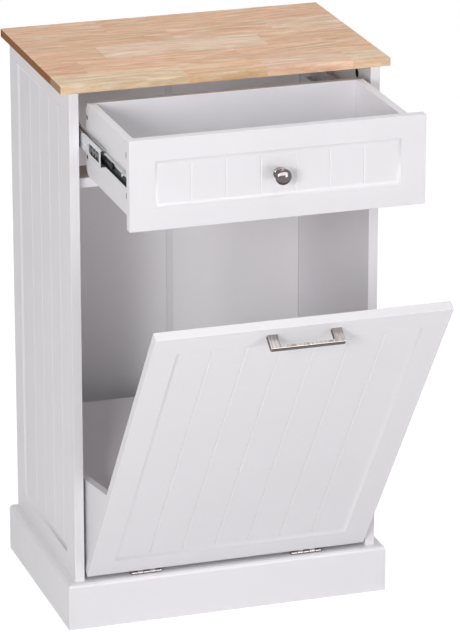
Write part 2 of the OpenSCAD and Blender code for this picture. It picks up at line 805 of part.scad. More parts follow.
// Release lever: a thin blade that turns on a rivet of the drawer member, its fork to the rear
lever_y = slide_y + 86;
lever_l = 36;
lever_t = 1.8;
lever_x = 8.2;
lever_rivet_r = 1.5;
lever_side_gap = 0.3;
module release_lever() {
    hub = slide_gap - slide_steel - lever_side_gap - lever_x;
    color(black_plastic) at_drawer() translate([-inner_x + lever_x, lever_y, slide_z])
        difference() {
            union() {
                rotate([0, 90, 0]) cylinder(h = hub, d = 10);
                rotate([90, 0, 90]) linear_extrude(lever_t)
                    polygon([[0, -3.5], [lever_l - 8, -2], [lever_l, -4.5], [lever_l, -2],
                        [lever_l - 5, 0], [lever_l, 2], [lever_l, 4.5], [lever_l - 8, 2], [0, 3.5]]);
            }
            rotate([0, 90, 0]) translate([0, 0, -1]) cylinder(h = hub + 2, r = lever_rivet_r + pin_play);
        }
}

module left_slide_cabinet_member() { cabinet_member(); }
module left_slide_middle_member() { middle_member(); }
module left_slide_drawer_member() { drawer_member(); }
module left_slide_outer_cage() { outer_cage(); }
module left_slide_inner_cage() { inner_cage(); }
module left_slide_release_lever() { release_lever(); }
module right_slide_cabinet_member() { on_side(true) cabinet_member(); }
module right_slide_middle_member() { on_side(true) middle_member(); }
module right_slide_drawer_member() { on_side(true) drawer_member(); }
module right_slide_outer_cage() { on_side(true) outer_cage(); }
module right_slide_inner_cage() { on_side(true) inner_cage(); }
module right_slide_release_lever() { on_side(true) release_lever(); }

module slide_screws_in_sides() {
    color(steel) both_sides() for (s = slide_screw_steps) slide_screw_in_side(slide_y + s);
}
module slide_screws_in_drawer() {
    color(steel) at_drawer() both_sides() for (s = drawer_screw_steps) {
        slide_screw_in_drawer(slide_y + s);
        translate([-drawer_box_x - slide_steel - 1.2, slide_y + s, slide_z])
            rotate([0, 90, 0]) cylinder(h = 1.2, d1 = 5.4, d2 = 6.6);
    }
}

// Door panel, drawn upright with its face at y = 0 and its lower edge at z = 0
module door_panel() {
    field_w = front_w - 2 * field_side_margin;
    field_h = door_h - 2 * door_field_margin;
    color(wood_white) at_door() difference() {
        block([-front_w / 2, 0, 0], [front_w / 2, board_t, door_h]);
        translate([0, 0, door_field_margin]) routed_field(field_w, field_h, centred_grooves(field_w));
        both_sides() {
            pull_bolt();
            hinge_door_screws();
            for (z = cheek_dowel_zs) cheek_dowel(z);
        }
        for (x = tray_dowel_xs) tray_dowel(x);
    }
}

// Screws of the pull, on the left leg
pull_z = door_h - pull_from_top;
module pull_bolt() {
    bar_y(-screw_in, board_t, -pull_pitch / 2, pull_z, handle_screw_d);
}
// Bar pull cut from one flat outline, with a leg at each end
module door_pull() {
    x = pull_pitch / 2 + pull_leg_w / 2;
    inner = pull_pitch / 2 - pull_leg_w / 2;
    color(nickel) at_door() difference() {
        translate([0, 0, pull_z - pull_h / 2]) linear_extrude(pull_h) difference() {
            translate([-x, -pull_reach]) square([2 * x, pull_reach]);
            round_rect([-inner, -pull_reach + pull_bar_t], [inner, 10], 3);
        }
        both_sides() pull_bolt();
    }
}
module pull_screws() {
    color(steel) at_door() both_sides() {
        pull_bolt();
        bar_y(board_t, board_t + handle_head_t, -pull_pitch / 2, pull_z, handle_head_d);
    }
}

// Fasteners of the bin tray
module cheek_dowel(z) {
    bar_y(board_t - dowel_in, board_t - dowel_in + dowel_l, -cheek_x + tray_t / 2, z, dowel_d);
}
module tray_dowel(x) {
    bar_y(board_t - dowel_in, board_t - dowel_in + dowel_l, x, tray_t / 2, dowel_d);
}
module tray_screw(y) {
    bar_x(-cheek_x + 2, -cheek_x + 40, y, tray_t / 2, screw_d);
    translate([-cheek_x, y, tray_t / 2])
        rotate([0, 90, 0]) cylinder(h = 2.4, d1 = screw_d + 3.5, d2 = screw_d);
}
module tray_cheek() {
    color(wood_white) at_door() difference() {
        along_x(-cheek_x, -cheek_x + tray_t)
            polygon([[tray_y, 0], [tray_y + cheek_d, 0], [tray_y + cheek_d, tray_t],
                [tray_y, cheek_h]]);
        for (z = cheek_dowel_zs) cheek_dowel(z);
        for (s = tray_screw_steps) tray_screw(tray_y + s);
    }
}
module left_tray_cheek() { tray_cheek(); }
module right_tray_cheek() { on_side(true) tray_cheek(); }
module bin_tray() {
    x = cheek_x - tray_t;
    color(wood_white) at_door() difference() {
        block([-x, tray_y, 0], [x, tray_y + tray_d, tray_t]);
        both_sides() for (s = tray_screw_steps) tray_screw(tray_y + s);
        for (x = tray_dowel_xs) tray_dowel(x);
    }
}
module tray_screws() {
    color(steel) at_door() both_sides() for (s = tray_screw_steps) tray_screw(tray_y + s);
}
module door_dowels() {
    color(beech) at_door() {
        both_sides() for (z = cheek_dowel_zs) cheek_dowel(z);
        for (x = tray_dowel_xs) tray_dowel(x);
    }
}

// Butt hinges, drawn with the door closed. A leaf lies on the floor panel or under the door
knuckles = 5;
leaf_d = 14;
leaf_screw_xs = [-15, 15];
module hinge_leaf(z_plate, segments) {
    seg = hinge_l / knuckles;
    plate_y = pin_y + knuckle_r + 2 * knuckle_gap;
    difference() {
        union() {
            block([-hinge_x - hinge_l / 2, plate_y, z_plate],
                [-hinge_x + hinge_l / 2, plate_y + leaf_d, z_plate + leaf_t]);
            for (i = segments) {
                x0 = -hinge_x - hinge_l / 2 + i * seg + knuckle_play / 2;
                x1 = x0 + seg - knuckle_play;
                block([x0, pin_y, z_plate], [x1, plate_y + 1, z_plate + leaf_t]);
                bar_x(x0, x1, pin_y, pin_z, 2 * knuckle_r);
            }
        }
        bar_x(-hinge_x - hinge_l, -hinge_x + hinge_l, pin_y, pin_z, 2 * (pin_r + pin_play));
    }
}
module hinge_floor_screw(x) {
    y = pin_y + knuckle_r + 2 * knuckle_gap + leaf_d / 2;
    bar_z(plinth_h - 10, plinth_h + leaf_t / 2, -hinge_x + x, y, 3);
    translate([-hinge_x + x, y, plinth_h]) cylinder(h = leaf_t, d1 = 4, d2 = 6);
}
module hinge_floor_screws() {
    for (x = leaf_screw_xs) hinge_floor_screw(x);
}
module lower_leaf() {
    color(nickel) difference() {
        hinge_leaf(plinth_h, [0, 2, 4]);
        hinge_floor_screws();
    }
}

// Carries what is drawn around the closed door's foot to the door's own place
module from_closed() {
    translate([0, -front_y, -door_low]) children();
}
module hinge_door_screw(x) {
    y = pin_y + knuckle_r + 2 * knuckle_gap + leaf_d / 2;
    bar_z(door_low - leaf_t / 2, door_low + 12, -hinge_x + x, y, 3);
    translate([-hinge_x + x, y, door_low - leaf_t]) cylinder(h = leaf_t, d1 = 6, d2 = 4);
}
module hinge_door_screws() {
    from_closed() for (x = leaf_screw_xs) hinge_door_screw(x);
}
module door_leaf() {
    color(nickel) at_door() difference() {
        from_closed() hinge_leaf(door_low - leaf_t, [1, 3]);
        hinge_door_screws();
    }
}
module left_hinge_lower_leaf() { lower_leaf(); }
module right_hinge_lower_leaf() { on_side(true) lower_leaf(); }
module left_hinge_door_leaf() { door_leaf(); }
module right_hinge_door_leaf() { on_side(true) door_leaf(); }
module hinge_pins() {
    color(steel) both_sides()
        bar_x(-hinge_x - hinge_l / 2, -hinge_x + hinge_l / 2, pin_y, pin_z, 2 * pin_r);
}
module hinge_screws_in_floor() {
    color(steel) both_sides() hinge_floor_screws();
}
module hinge_screws_in_door() {
    color(steel) at_door() both_sides() hinge_door_screws();
}

top_board();
left_side_panel();
right_side_panel();
bottom_panel();
left_back_panel();
right_back_panel();
back_seam_strip();
drawer_rail();
front_skirting();
left_skirting();
right_skirting();
carcass_dowels();
carcass_cam_locks();
carcass_cam_bolts();
skirting_screws();
back_panel_nails();
drawer_front();
left_drawer_side();
right_drawer_side();
drawer_back();
drawer_bottom();
drawer_cam_locks();
drawer_cam_bolts();
drawer_back_screws();
drawer_knob();
knob_screw();
left_slide_cabinet_member();
left_slide_middle_member();
left_slide_drawer_member();
left_slide_outer_cage();
left_slide_inner_cage();
left_slide_release_lever();
right_slide_cabinet_member();
right_slide_middle_member();
right_slide_drawer_member();
right_slide_outer_cage();
right_slide_inner_cage();
right_slide_release_lever();
slide_screws_in_sides();
slide_screws_in_drawer();
door_panel();
door_pull();
pull_screws();
left_tray_cheek();
right_tray_cheek();
bin_tray();
tray_screws();
door_dowels();
left_hinge_lower_leaf();
right_hinge_lower_leaf();
left_hinge_door_leaf();
right_hinge_door_leaf();
hinge_pins();
hinge_screws_in_floor();
hinge_screws_in_door();
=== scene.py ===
"""Looks of a trash bin cabinet: painted boards, a worktop of wooden staves, a drawer on ball slides
and a door that tilts out with its bin tray. Lengths are in metres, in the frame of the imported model."""

import json
import logging
import math
from collections.abc import Callable, Iterable, Sequence
from dataclasses import dataclass
from enum import Enum

import bmesh
import bpy
from bmesh.types import BMesh, BMEdge, BMVert
from bpy.types import ID, Material, Node, NodeOutputs, NodeSocket, NodeTree, Object, World
from mathutils import Matrix, Vector

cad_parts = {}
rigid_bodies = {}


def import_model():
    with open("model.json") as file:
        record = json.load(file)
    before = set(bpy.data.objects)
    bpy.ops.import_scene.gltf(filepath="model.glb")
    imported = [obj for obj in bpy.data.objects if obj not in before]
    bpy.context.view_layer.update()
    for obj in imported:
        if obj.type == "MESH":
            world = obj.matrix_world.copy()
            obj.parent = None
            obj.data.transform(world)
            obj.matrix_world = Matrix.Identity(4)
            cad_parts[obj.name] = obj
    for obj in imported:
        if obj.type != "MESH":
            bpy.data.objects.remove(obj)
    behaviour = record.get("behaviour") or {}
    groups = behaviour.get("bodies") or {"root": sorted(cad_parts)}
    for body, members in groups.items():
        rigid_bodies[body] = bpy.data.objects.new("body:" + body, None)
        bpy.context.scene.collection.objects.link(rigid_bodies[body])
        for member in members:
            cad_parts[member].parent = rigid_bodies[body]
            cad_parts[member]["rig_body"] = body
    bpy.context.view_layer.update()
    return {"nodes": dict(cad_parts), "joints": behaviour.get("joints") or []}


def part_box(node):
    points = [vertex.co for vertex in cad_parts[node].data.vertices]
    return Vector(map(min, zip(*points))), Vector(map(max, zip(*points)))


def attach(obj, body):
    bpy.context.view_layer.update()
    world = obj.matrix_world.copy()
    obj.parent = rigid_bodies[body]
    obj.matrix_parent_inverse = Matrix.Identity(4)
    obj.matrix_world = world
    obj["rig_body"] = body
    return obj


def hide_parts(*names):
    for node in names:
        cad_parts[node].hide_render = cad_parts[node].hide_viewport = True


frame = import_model()
NODES: dict[str, Object] = frame["nodes"]
MM = 0.001
# How near to a plane counts as on it
TOUCH = MM / 100
# The share of a direction along an axis that counts as mostly along it, or as hardly
MOSTLY = 0.9
HARDLY = 0.1

log = logging.getLogger("cabinet")

Colour = tuple[float, float, float]
Point = tuple[float, float, float]
Flat = tuple[float, float]
Value = float | int | str | bool | Sequence[float] | NodeSocket


class Side(Enum):
    """The cabinet's two sides, each with its sign along X."""

    LEFT = -1
    RIGHT = 1


def shaded(colour: Colour, share: float) -> Colour:
    """Returns a colour with this share of its light."""
    return tuple(share * part for part in colour)


def arc(centre: Flat, radii: Flat, start: float, end: float, steps: int = 12) -> list[Flat]:
    """Draws an arc of an ellipse.

    Args:
        centre: the ellipse's centre.
        radii: its half width and half height.
        start: the angle of the first point, in degrees from the half width.
        end: the angle of the last point.
        steps: how many steps there are between them.

    Returns:
        The points, with both ends.
    """
    angles = [math.radians(start + (end - start) * i / steps) for i in range(steps + 1)]
    return [(centre[0] + radii[0] * math.cos(a), centre[1] + radii[1] * math.sin(a)) for a in angles]


def box_of(verts: Iterable[BMVert]) -> tuple[Vector, Vector]:
    """Returns the lowest and the highest corner of the box round some vertices."""
    places = [vert.co for vert in verts]
    low, high = (Vector(pick(place[i] for place in places) for i in range(3)) for pick in (min, max))
    return low, high


class Desk:
    """Places shader nodes in one tree and joins their sockets."""

    def __init__(self, tree: NodeTree) -> None:
        """Takes the tree that the nodes go into."""
        self.tree = tree

    def add(self, kind: str, inputs: dict[str | int, Value] | None = None, **properties: Value) -> Node:
        """Places a node.

        Args:
            kind: the node's type, without its leading "ShaderNode".
            inputs: what its sockets hold, as plain values or as the outputs that feed them.
            properties: the node's own settings.

        Returns:
            The new node.
        """
        node = self.tree.nodes.new("ShaderNode" + kind)
        for name, value in properties.items():
            setattr(node, name, value)
        for name, value in (inputs or {}).items():
            self.feed(node.inputs[name], value)
        return node

    def feed(self, socket: NodeSocket, value: Value) -> None:
        """Gives a socket a plain value, or joins it to the output that feeds it."""
        if isinstance(value, NodeSocket):
            self.tree.links.new(value, socket)
        elif isinstance(value, tuple) and len(value) == 3 and socket.type == "RGBA":
            socket.default_value = (*value, 1.0)
        else:
            socket.default_value = value

    def math(self, operation: str, *values: Value, clamp: bool = False) -> NodeSocket:
        """Returns the result of a Math node over one to three values."""
        inputs = dict(enumerate(values))
        return self.add("Math", inputs, operation=operation, use_clamp=clamp).outputs[0]

    def vector(self, operation: str, *values: Value) -> NodeSocket:
        """Returns the result of a Vector Math node over one or two vectors."""
        return self.add("VectorMath", dict(enumerate(values)), operation=operation).outputs[0]

    def mix(self, factor: Value, first: Value, second: Value, blend: str = "MIX") -> NodeSocket:
        """Returns a colour between two others, or blended from them."""
        node = self.add("Mix", data_type="RGBA", blend_type=blend)
        for index, value in ((0, factor), (6, first), (7, second)):
            self.feed(node.inputs[index], value)
        return node.outputs[2]

    def spread(self, value: Value, low: float, high: float, start: float, end: float) -> NodeSocket:
        """Returns a value carried smoothly from the range start to end into the range low to high."""
        inputs = {"Value": value, "From Min": start, "From Max": end, "To Min": low, "To Max": high}
        return self.add("MapRange", inputs, interpolation_type="SMOOTHSTEP").outputs[0]

    def split(self, vector: NodeSocket) -> tuple[NodeSocket, NodeSocket, NodeSocket]:
        """Returns a vector's three parts."""
        outputs = self.add("SeparateXYZ", {"Vector": vector}).outputs
        return outputs[0], outputs[1], outputs[2]

    def join(self, x: Value, y: Value, z: Value) -> NodeSocket:
        """Returns the vector of three parts."""
        return self.add("CombineXYZ", {0: x, 1: y, 2: z}).outputs[0]

    def noise(self, vector: NodeSocket, scale: Value, detail: float = 3.0,
              roughness: float = 0.5) -> NodeSocket:
        """Returns a noise value over a vector, with this many features per metre."""
        inputs = {"Vector": vector, "Scale": scale, "Detail": detail, "Roughness": roughness}
        return self.add("TexNoise", inputs).outputs["Fac"]

    def group(self, effect: NodeTree, inputs: dict[str, Value]) -> Node:
        """Places a shared effect with its own values."""
        node = self.tree.nodes.new("ShaderNodeGroup")
        node.node_tree = effect
        for name, value in inputs.items():
            self.feed(node.inputs[name], value)
        return node


def cleared(owner: Material | World) -> Desk:
    """Returns a desk on the owner's nodes, with none left on it."""
    owner.use_nodes = True
    owner.node_tree.nodes.clear()
    return Desk(owner.node_tree)


class Effects:
    """The effects that several finishes share, each built once as a node group."""

    kinds = {"Vector": "Vector", "Along": "Vector", "Color": "Color"}

    def __init__(self) -> None:
        """Builds the groups."""
        self.drift = self._group("tone_drift", ("Vector", "Color", "Scale", "Amount"), ("Color",),
                                 self._drift)
        self.relief = self._group("fine_relief", ("Vector", "Scale", "Waviness"), ("Height",),
                                  self._relief)
        self.rubbed = self._group("rubbed_gloss", ("Vector", "Scale", "Low", "High"), ("Roughness",),
                                  self._rubbed)
        self.brushed = self._group("brush_lines", ("Vector", "Along", "Fineness"), ("Height", "Shade"),
                                   self._brushed)
        self.fibre = self._group("wood_fibre", ("Vector", "Length"),
                                 ("Bands", "Streaks", "Fine", "Pores", "Hue"), self._fibre)

    def _group(self, name: str, inputs: Sequence[str], outputs: Sequence[str],
               build: Callable[[Desk, Node, Node], None]) -> NodeTree:
        """Makes a node group with named sockets. A socket whose kind isn't noted holds a number.

        Args:
            name: the group's name.
            inputs: the sockets that go in.
            outputs: the sockets that come out.
            build: what lays the group's inside, given its desk and its two end nodes.

        Returns:
            The group.
        """
        tree = bpy.data.node_groups.new(name, "ShaderNodeTree")
        for names, direction in ((inputs, "INPUT"), (outputs, "OUTPUT")):
            for socket in names:
                kind = "NodeSocket" + self.kinds.get(socket, "Float")
                tree.interface.new_socket(name=socket, in_out=direction, socket_type=kind)
        desk = Desk(tree)
        build(desk, tree.nodes.new("NodeGroupInput"), tree.nodes.new("NodeGroupOutput"))
        return tree

    def _drift(self, desk: Desk, given: Node, result: Node) -> None:
        """Lays a slow change of tone over a colour."""
        cloud = desk.noise(given.outputs["Vector"], given.outputs["Scale"], detail=4.0)
        swing = desk.math("MULTIPLY", given.outputs["Amount"], 2.0)
        value = desk.math("MULTIPLY_ADD", desk.math("SUBTRACT", cloud, 0.5), swing, 1.0)
        toned = desk.vector("SCALE", given.outputs["Color"])
        desk.feed(toned.node.inputs["Scale"], value)
        desk.feed(result.inputs["Color"], toned)

    def _relief(self, desk: Desk, given: Node, result: Node) -> None:
        """Lays the fine relief of a sprayed or moulded surface, over a slower waviness."""
        peel = desk.noise(given.outputs["Vector"], given.outputs["Scale"], detail=2.0, roughness=0.6)
        wide = desk.math("MULTIPLY", given.outputs["Scale"], 0.07)
        slow = desk.noise(given.outputs["Vector"], wide, detail=1.0)
        height = desk.math("MULTIPLY_ADD", slow, given.outputs["Waviness"], peel)
        desk.feed(result.inputs["Height"], height)

    def _rubbed(self, desk: Desk, given: Node, result: Node) -> None:
        """Lays the uneven gloss of a handled surface."""
        cloud = desk.noise(given.outputs["Vector"], given.outputs["Scale"], detail=5.0, roughness=0.6)
        node = desk.add("MapRange", {"Value": cloud, "From Min": 0.3, "From Max": 0.7,
                                     "To Min": given.outputs["Low"], "To Max": given.outputs["High"]})
        desk.feed(result.inputs["Roughness"], node.outputs[0])

    def _brushed(self, desk: Desk, given: Node, result: Node) -> None:
        """Lays fine parallel lines, drawn out along the axis whose share of Along is smallest."""
        drawn = desk.vector("MULTIPLY", given.outputs["Vector"], given.outputs["Along"])
        lines = desk.noise(drawn, given.outputs["Fineness"], detail=4.0, roughness=0.7)
        bands = desk.noise(drawn, desk.math("MULTIPLY", given.outputs["Fineness"], 0.2), detail=2.0)
        desk.feed(result.inputs["Height"], lines)
        shade = desk.math("MULTIPLY_ADD", bands, 0.6, desk.math("MULTIPLY", lines, 0.4))
        desk.feed(result.inputs["Shade"], shade)

    def _fibre(self, desk: Desk, given: Node, result: Node) -> None:
        """Lays wood fibre along X: growth bands, broad and fine streaks, pores and a change of hue."""
        x, y, z = desk.split(given.outputs["Vector"])
        long_x = desk.math("DIVIDE", x, given.outputs["Length"])
        drawn = desk.join(long_x, y, z)
        sway = desk.noise(drawn, 15.0, detail=2.0)
        swayed = desk.join(long_x, desk.math("MULTIPLY_ADD", sway, 0.07, y), z)
        wave = desk.add("TexWave", {"Vector": swayed, "Scale": 21.0, "Distortion": 4.0, "Detail": 3.0,
                                    "Detail Scale": 2.5}, bands_direction="Y")
        desk.feed(result.inputs["Bands"], wave.outputs["Fac"])
        desk.feed(result.inputs["Streaks"], desk.noise(swayed, 105.0, detail=4.0, roughness=0.6))
        thin = desk.join(desk.math("DIVIDE", x, 16.0), y, z)
        desk.feed(result.inputs["Fine"], desk.noise(thin, 400.0, detail=4.0, roughness=0.65))
        pores = desk.noise(desk.join(desk.math("DIVIDE", x, 9.0), y, z), 1000.0, detail=1.0)
        desk.feed(result.inputs["Pores"], desk.spread(pores, 0.0, 1.0, 0.62, 0.72))
        desk.feed(result.inputs["Hue"], desk.noise(swayed, 34.0, detail=2.0))


EFFECTS = Effects()


class Finish:
    """A surface that a piece can have. Each kind of finish builds one material."""

    name: str

    def material(self) -> Material:
        """Returns the finish's material, built the first time that it is asked for."""
        found = bpy.data.materials.get(self.name)
        if found is not None:
            return found
        material = bpy.data.materials.new(self.name)
        desk = cleared(material)
        shader = desk.add("BsdfPrincipled")
        output = desk.add("OutputMaterial", {"Surface": shader.outputs[0]})
        output.is_active_output = True
        place = desk.add("TexCoord").outputs["Object"]
        self.lay(desk, shader, place)
        return material

    def lay(self, desk: Desk, shader: Node, place: NodeSocket) -> None:
        """Lays the finish's nodes.

        Args:
            desk: where the nodes go.
            shader: the finish's Principled BSDF.
            place: the surface point in the model's frame.
        """
        raise NotImplementedError

    @staticmethod
    def drifting(desk: Desk, place: NodeSocket, colour: Colour, scale: float,
                 amount: float) -> NodeSocket:
        """Returns a colour whose tone changes slowly, with this many features per metre."""
        inputs = {"Vector": place, "Color": (*colour, 1.0), "Scale": scale, "Amount": amount}
        return desk.group(EFFECTS.drift, inputs).outputs["Color"]

    @staticmethod
    def handled(desk: Desk, place: NodeSocket, gloss: Flat, scale: float) -> NodeSocket:
        """Returns a roughness that wanders between two values, with this many features per metre."""
        inputs = {"Vector": place, "Scale": scale, "Low": gloss[0], "High": gloss[1]}
        return desk.group(EFFECTS.rubbed, inputs).outputs["Roughness"]

    @staticmethod
    def bump(desk: Desk, shader: Node, height: NodeSocket, depth: float, strength: float) -> None:
        """Feeds the shader's normal from a height of this depth in metres."""
        node = desk.add("Bump", {"Height": height, "Distance": depth, "Strength": strength})
        desk.feed(shader.inputs["Normal"], node.outputs[0])


@dataclass(frozen=True)
class Paint(Finish):
    """Satin lacquer sprayed on fibreboard, with a fine orange peel."""

    name: str
    colour: Colour
    gloss: Flat = (0.34, 0.46)
    gloss_scale: float = 26.0
    drift_scale: float = 7.0
    drift: float = 0.018
    peel_scale: float = 620.0
    peel_waviness: float = 1.4
    peel_depth: float = 0.03 * MM
    index: float = 1.48

    def lay(self, desk: Desk, shader: Node, place: NodeSocket) -> None:
        """Lays the lacquer's nodes."""
        tone = self.drifting(desk, place, self.colour, self.drift_scale, self.drift)
        relief = desk.group(EFFECTS.relief, {"Vector": place, "Scale": self.peel_scale,
                                             "Waviness": self.peel_waviness})
        desk.feed(shader.inputs["Base Color"], tone)
        desk.feed(shader.inputs["Roughness"], self.handled(desk, place, self.gloss, self.gloss_scale))
        shader.inputs["IOR"].default_value = self.index
        self.bump(desk, shader, relief.outputs["Height"], self.peel_depth, 0.5)


@dataclass(frozen=True)
class Film(Finish):
    """Thin fibreboard, with a film inside, bare brown board behind a plane, and painted shadow lines at
    joints.

    Each painted shadow line is a place along X and the share of light that is left in it.
    """

    name: str
    colour: Colour
    bare_from: float
    gaps: tuple[Flat, ...] = ()
    gap_half: float = 0.7 * MM
    bare: Colour = (0.30, 0.185, 0.105)
    roughness: float = 0.45
    bare_roughness: float = 0.75
    drift_scale: float = 5.0
    drift: float = 0.02
    fibre_scale: float = 900.0
    speck_scale: float = 210.0
    weave_depth: float = 0.04 * MM

    def lay(self, desk: Desk, shader: Node, place: NodeSocket) -> None:
        """Lays the film's and the bare board's nodes."""
        x, y, _ = desk.split(place)
        fibres = desk.noise(place, self.fibre_scale, detail=6.0, roughness=0.75)
        specks = desk.noise(place, self.speck_scale, detail=3.0)
        light = desk.spread(fibres, 0.0, 1.0, 0.3, 0.75)
        dark = desk.spread(specks, 0.0, 0.35, 0.55, 0.7)
        brown = desk.mix(light, shaded(self.bare, 0.72), self.bare)
        brown = desk.mix(dark, brown, shaded(self.bare, 0.45))
        inside = self.drifting(desk, place, self.colour, self.drift_scale, self.drift)
        # Painted shadow lines along the joints, darkest at each line's middle
        for gap, left in self.gaps:
            away = desk.math("ABSOLUTE", desk.math("SUBTRACT", x, gap))
            joint = desk.spread(away, 1.0, 0.0, 0.4 * self.gap_half, self.gap_half)
            inside = desk.mix(joint, inside, shaded(self.colour, left))
        outside = desk.math("GREATER_THAN", y, self.bare_from)
        desk.feed(shader.inputs["Base Color"], desk.mix(outside, inside, brown))
        rougher = self.bare_roughness - self.roughness
        rough = desk.math("MULTIPLY_ADD", outside, rougher, self.roughness)
        desk.feed(shader.inputs["Roughness"], rough)
        weave = desk.math("MULTIPLY_ADD", outside, desk.math("MULTIPLY", fibres, 3.0), fibres)
        self.bump(desk, shader, weave, self.weave_depth, 0.5)


class StaveTone(Enum):
    """The tones that the worktop's staves are sorted from."""

    HONEY = (0.92, 0.62, 0.38)
    STRAW = (0.93, 0.71, 0.50)
    TAN = (0.875, 0.55, 0.35)
    ROSE = (0.865, 0.51, 0.33)
    PALE = (0.935, 0.70, 0.53)
    PEACH = (0.935, 0.655, 0.475)


@dataclass(frozen=True)
class Stave:
    """A stave of the worktop: its row from the front, where it starts along X and its tone."""

    row: int
    start: float
    tone: StaveTone


@dataclass(frozen=True)
class Figure:
    """A tint that one pattern of the wood's fibre lays over it.

    Its strength goes from the first to the second value while the pattern goes from start to end.
    """

    pattern: str
    strength: Flat
    start: float
    end: float
    tint: Colour
    blend: str = "MULTIPLY"


@dataclass(frozen=True)
class Staves(Finish):
    """Solid rubberwood in glued staves that run along X, with darker end grain at the two ends."""

    name: str
    rows: tuple[float, ...]
    staves: tuple[Stave, ...]
    figures: tuple[Figure, ...]
    sandy: Colour = (0.90, 0.895, 0.83)
    rosy: Colour = (1.02, 0.955, 0.915)
    pore: Colour = (0.62, 0.5, 0.4)
    glue: Colour = (0.55, 0.4, 0.28)
    end_tint: Colour = (0.36, 0.22, 0.10)
    front_end_tint: Colour = (0.48, 0.43, 0.33)
    end_ring: Colour = (0.72, 0.66, 0.6)
    gloss: Flat = (0.36, 0.5)
    end_roughness: float = 0.95
    fibre_length: float = 5.5
    lean: float = 0.06
    grain_depth: float = 0.05 * MM

    def lay(self, desk: Desk, shader: Node, place: NodeSocket) -> None:
        """Lays the staves' nodes."""
        x, y, z = desk.split(place)
        tone, number = self._sorted(desk, x, y)
        own = desk.vector("ADD", place, self._shift(desk, x, number))
        fibre = desk.group(EFFECTS.fibre, {"Vector": own, "Length": self.fibre_length}).outputs
        seams = self._seams(desk, y)
        light = self._figured(desk, tone, fibre, seams)
        face = desk.split(desk.add("TexCoord").outputs["Normal"])[0]
        end = desk.math("GREATER_THAN", desk.math("ABSOLUTE", face), 0.8)
        desk.feed(shader.inputs["Base Color"], desk.mix(end, light, self._end_grain(desk, tone, y, z)))
        rubbed = self.handled(desk, own, self.gloss, 40.0)
        rough = desk.math("MULTIPLY", end, self.end_roughness)
        desk.feed(shader.inputs["Roughness"], desk.math("MAXIMUM", rubbed, rough))
        sunk = desk.math("MULTIPLY", desk.math("ADD", fibre["Pores"], seams), 0.8)
        self.bump(desk, shader, desk.math("SUBTRACT", fibre["Streaks"], sunk), self.grain_depth, 0.6)

    def _sorted(self, desk: Desk, x: NodeSocket, y: NodeSocket) -> tuple[Value, Value]:
        """Returns the tone and the number of the stave at a place."""
        row: Value = 0.0
        for edge in self.rows:
            row = desk.math("ADD", row, desk.math("GREATER_THAN", y, edge))
        tone: Value = (*self.staves[0].tone.value, 1.0)
        number: Value = 0.0
        for count, stave in enumerate(self.staves, 1):
            in_row = desk.math("COMPARE", row, float(stave.row), 0.1)
            mask = desk.math("MULTIPLY", in_row, desk.math("GREATER_THAN", x, stave.start))
            tone = desk.mix(mask, tone, stave.tone.value)
            step = desk.math("MULTIPLY", mask, desk.math("SUBTRACT", float(count), number))
            number = desk.math("ADD", number, step)
        return tone, number

    def _shift(self, desk: Desk, x: NodeSocket, number: Value) -> NodeSocket:
        """Returns how far a stave's fibre is moved from its neighbours', with a lean of its own."""
        lean = desk.math("MULTIPLY", desk.math("SINE", desk.math("MULTIPLY", number, 2.4)), self.lean)
        leaning = desk.math("MULTIPLY", x, lean)
        return desk.join(desk.math("MULTIPLY", number, 0.731),
                         desk.math("MULTIPLY_ADD", number, 0.417, leaning),
                         desk.math("MULTIPLY", number, 0.253))

    def _figured(self, desk: Desk, tone: Value, fibre: NodeOutputs, seams: NodeSocket) -> NodeSocket:
        """Returns the staves' tone with the fibre, the pores and the glue lines laid over it."""
        sandy = desk.mix(1.0, tone, self.sandy, "MULTIPLY")
        rosy = desk.mix(1.0, tone, self.rosy, "MULTIPLY")
        light = desk.mix(desk.spread(fibre["Hue"], 0.0, 1.0, 0.36, 0.62), sandy, rosy)
        for figure in self.figures:
            strength = desk.spread(fibre[figure.pattern], *figure.strength, figure.start, figure.end)
            light = desk.mix(strength, light, figure.tint, figure.blend)
        light = desk.mix(desk.math("MULTIPLY", fibre["Pores"], 0.4), light, self.pore, "MULTIPLY")
        return desk.mix(desk.math("MULTIPLY", seams, 0.4), light, self.glue, "MULTIPLY")

    def _end_grain(self, desk: Desk, tone: Value, y: NodeSocket, z: NodeSocket) -> NodeSocket:
        """Returns the colour of the end grain, lighter in the front row."""
        flat = desk.join(0.0, y, desk.math("MULTIPLY", z, 0.5))
        rings = desk.noise(flat, 420.0, detail=4.0, roughness=0.7)
        behind = desk.math("GREATER_THAN", y, self.rows[0])
        dark = desk.mix(1.0, tone, desk.mix(behind, self.front_end_tint, self.end_tint), "MULTIPLY")
        return desk.mix(desk.spread(rings, 0.0, 0.8, 0.35, 0.68), dark, self.end_ring, "MULTIPLY")

    def _seams(self, desk: Desk, y: NodeSocket) -> NodeSocket:
        """Returns a mask of the glue lines between the rows."""
        line: Value = 1.0
        for edge in self.rows:
            away = desk.math("ABSOLUTE", desk.math("SUBTRACT", y, edge))
            line = desk.math("MINIMUM", line, away)
        return desk.spread(line, 1.0, 0.0, 0.1 * MM, 0.6 * MM)


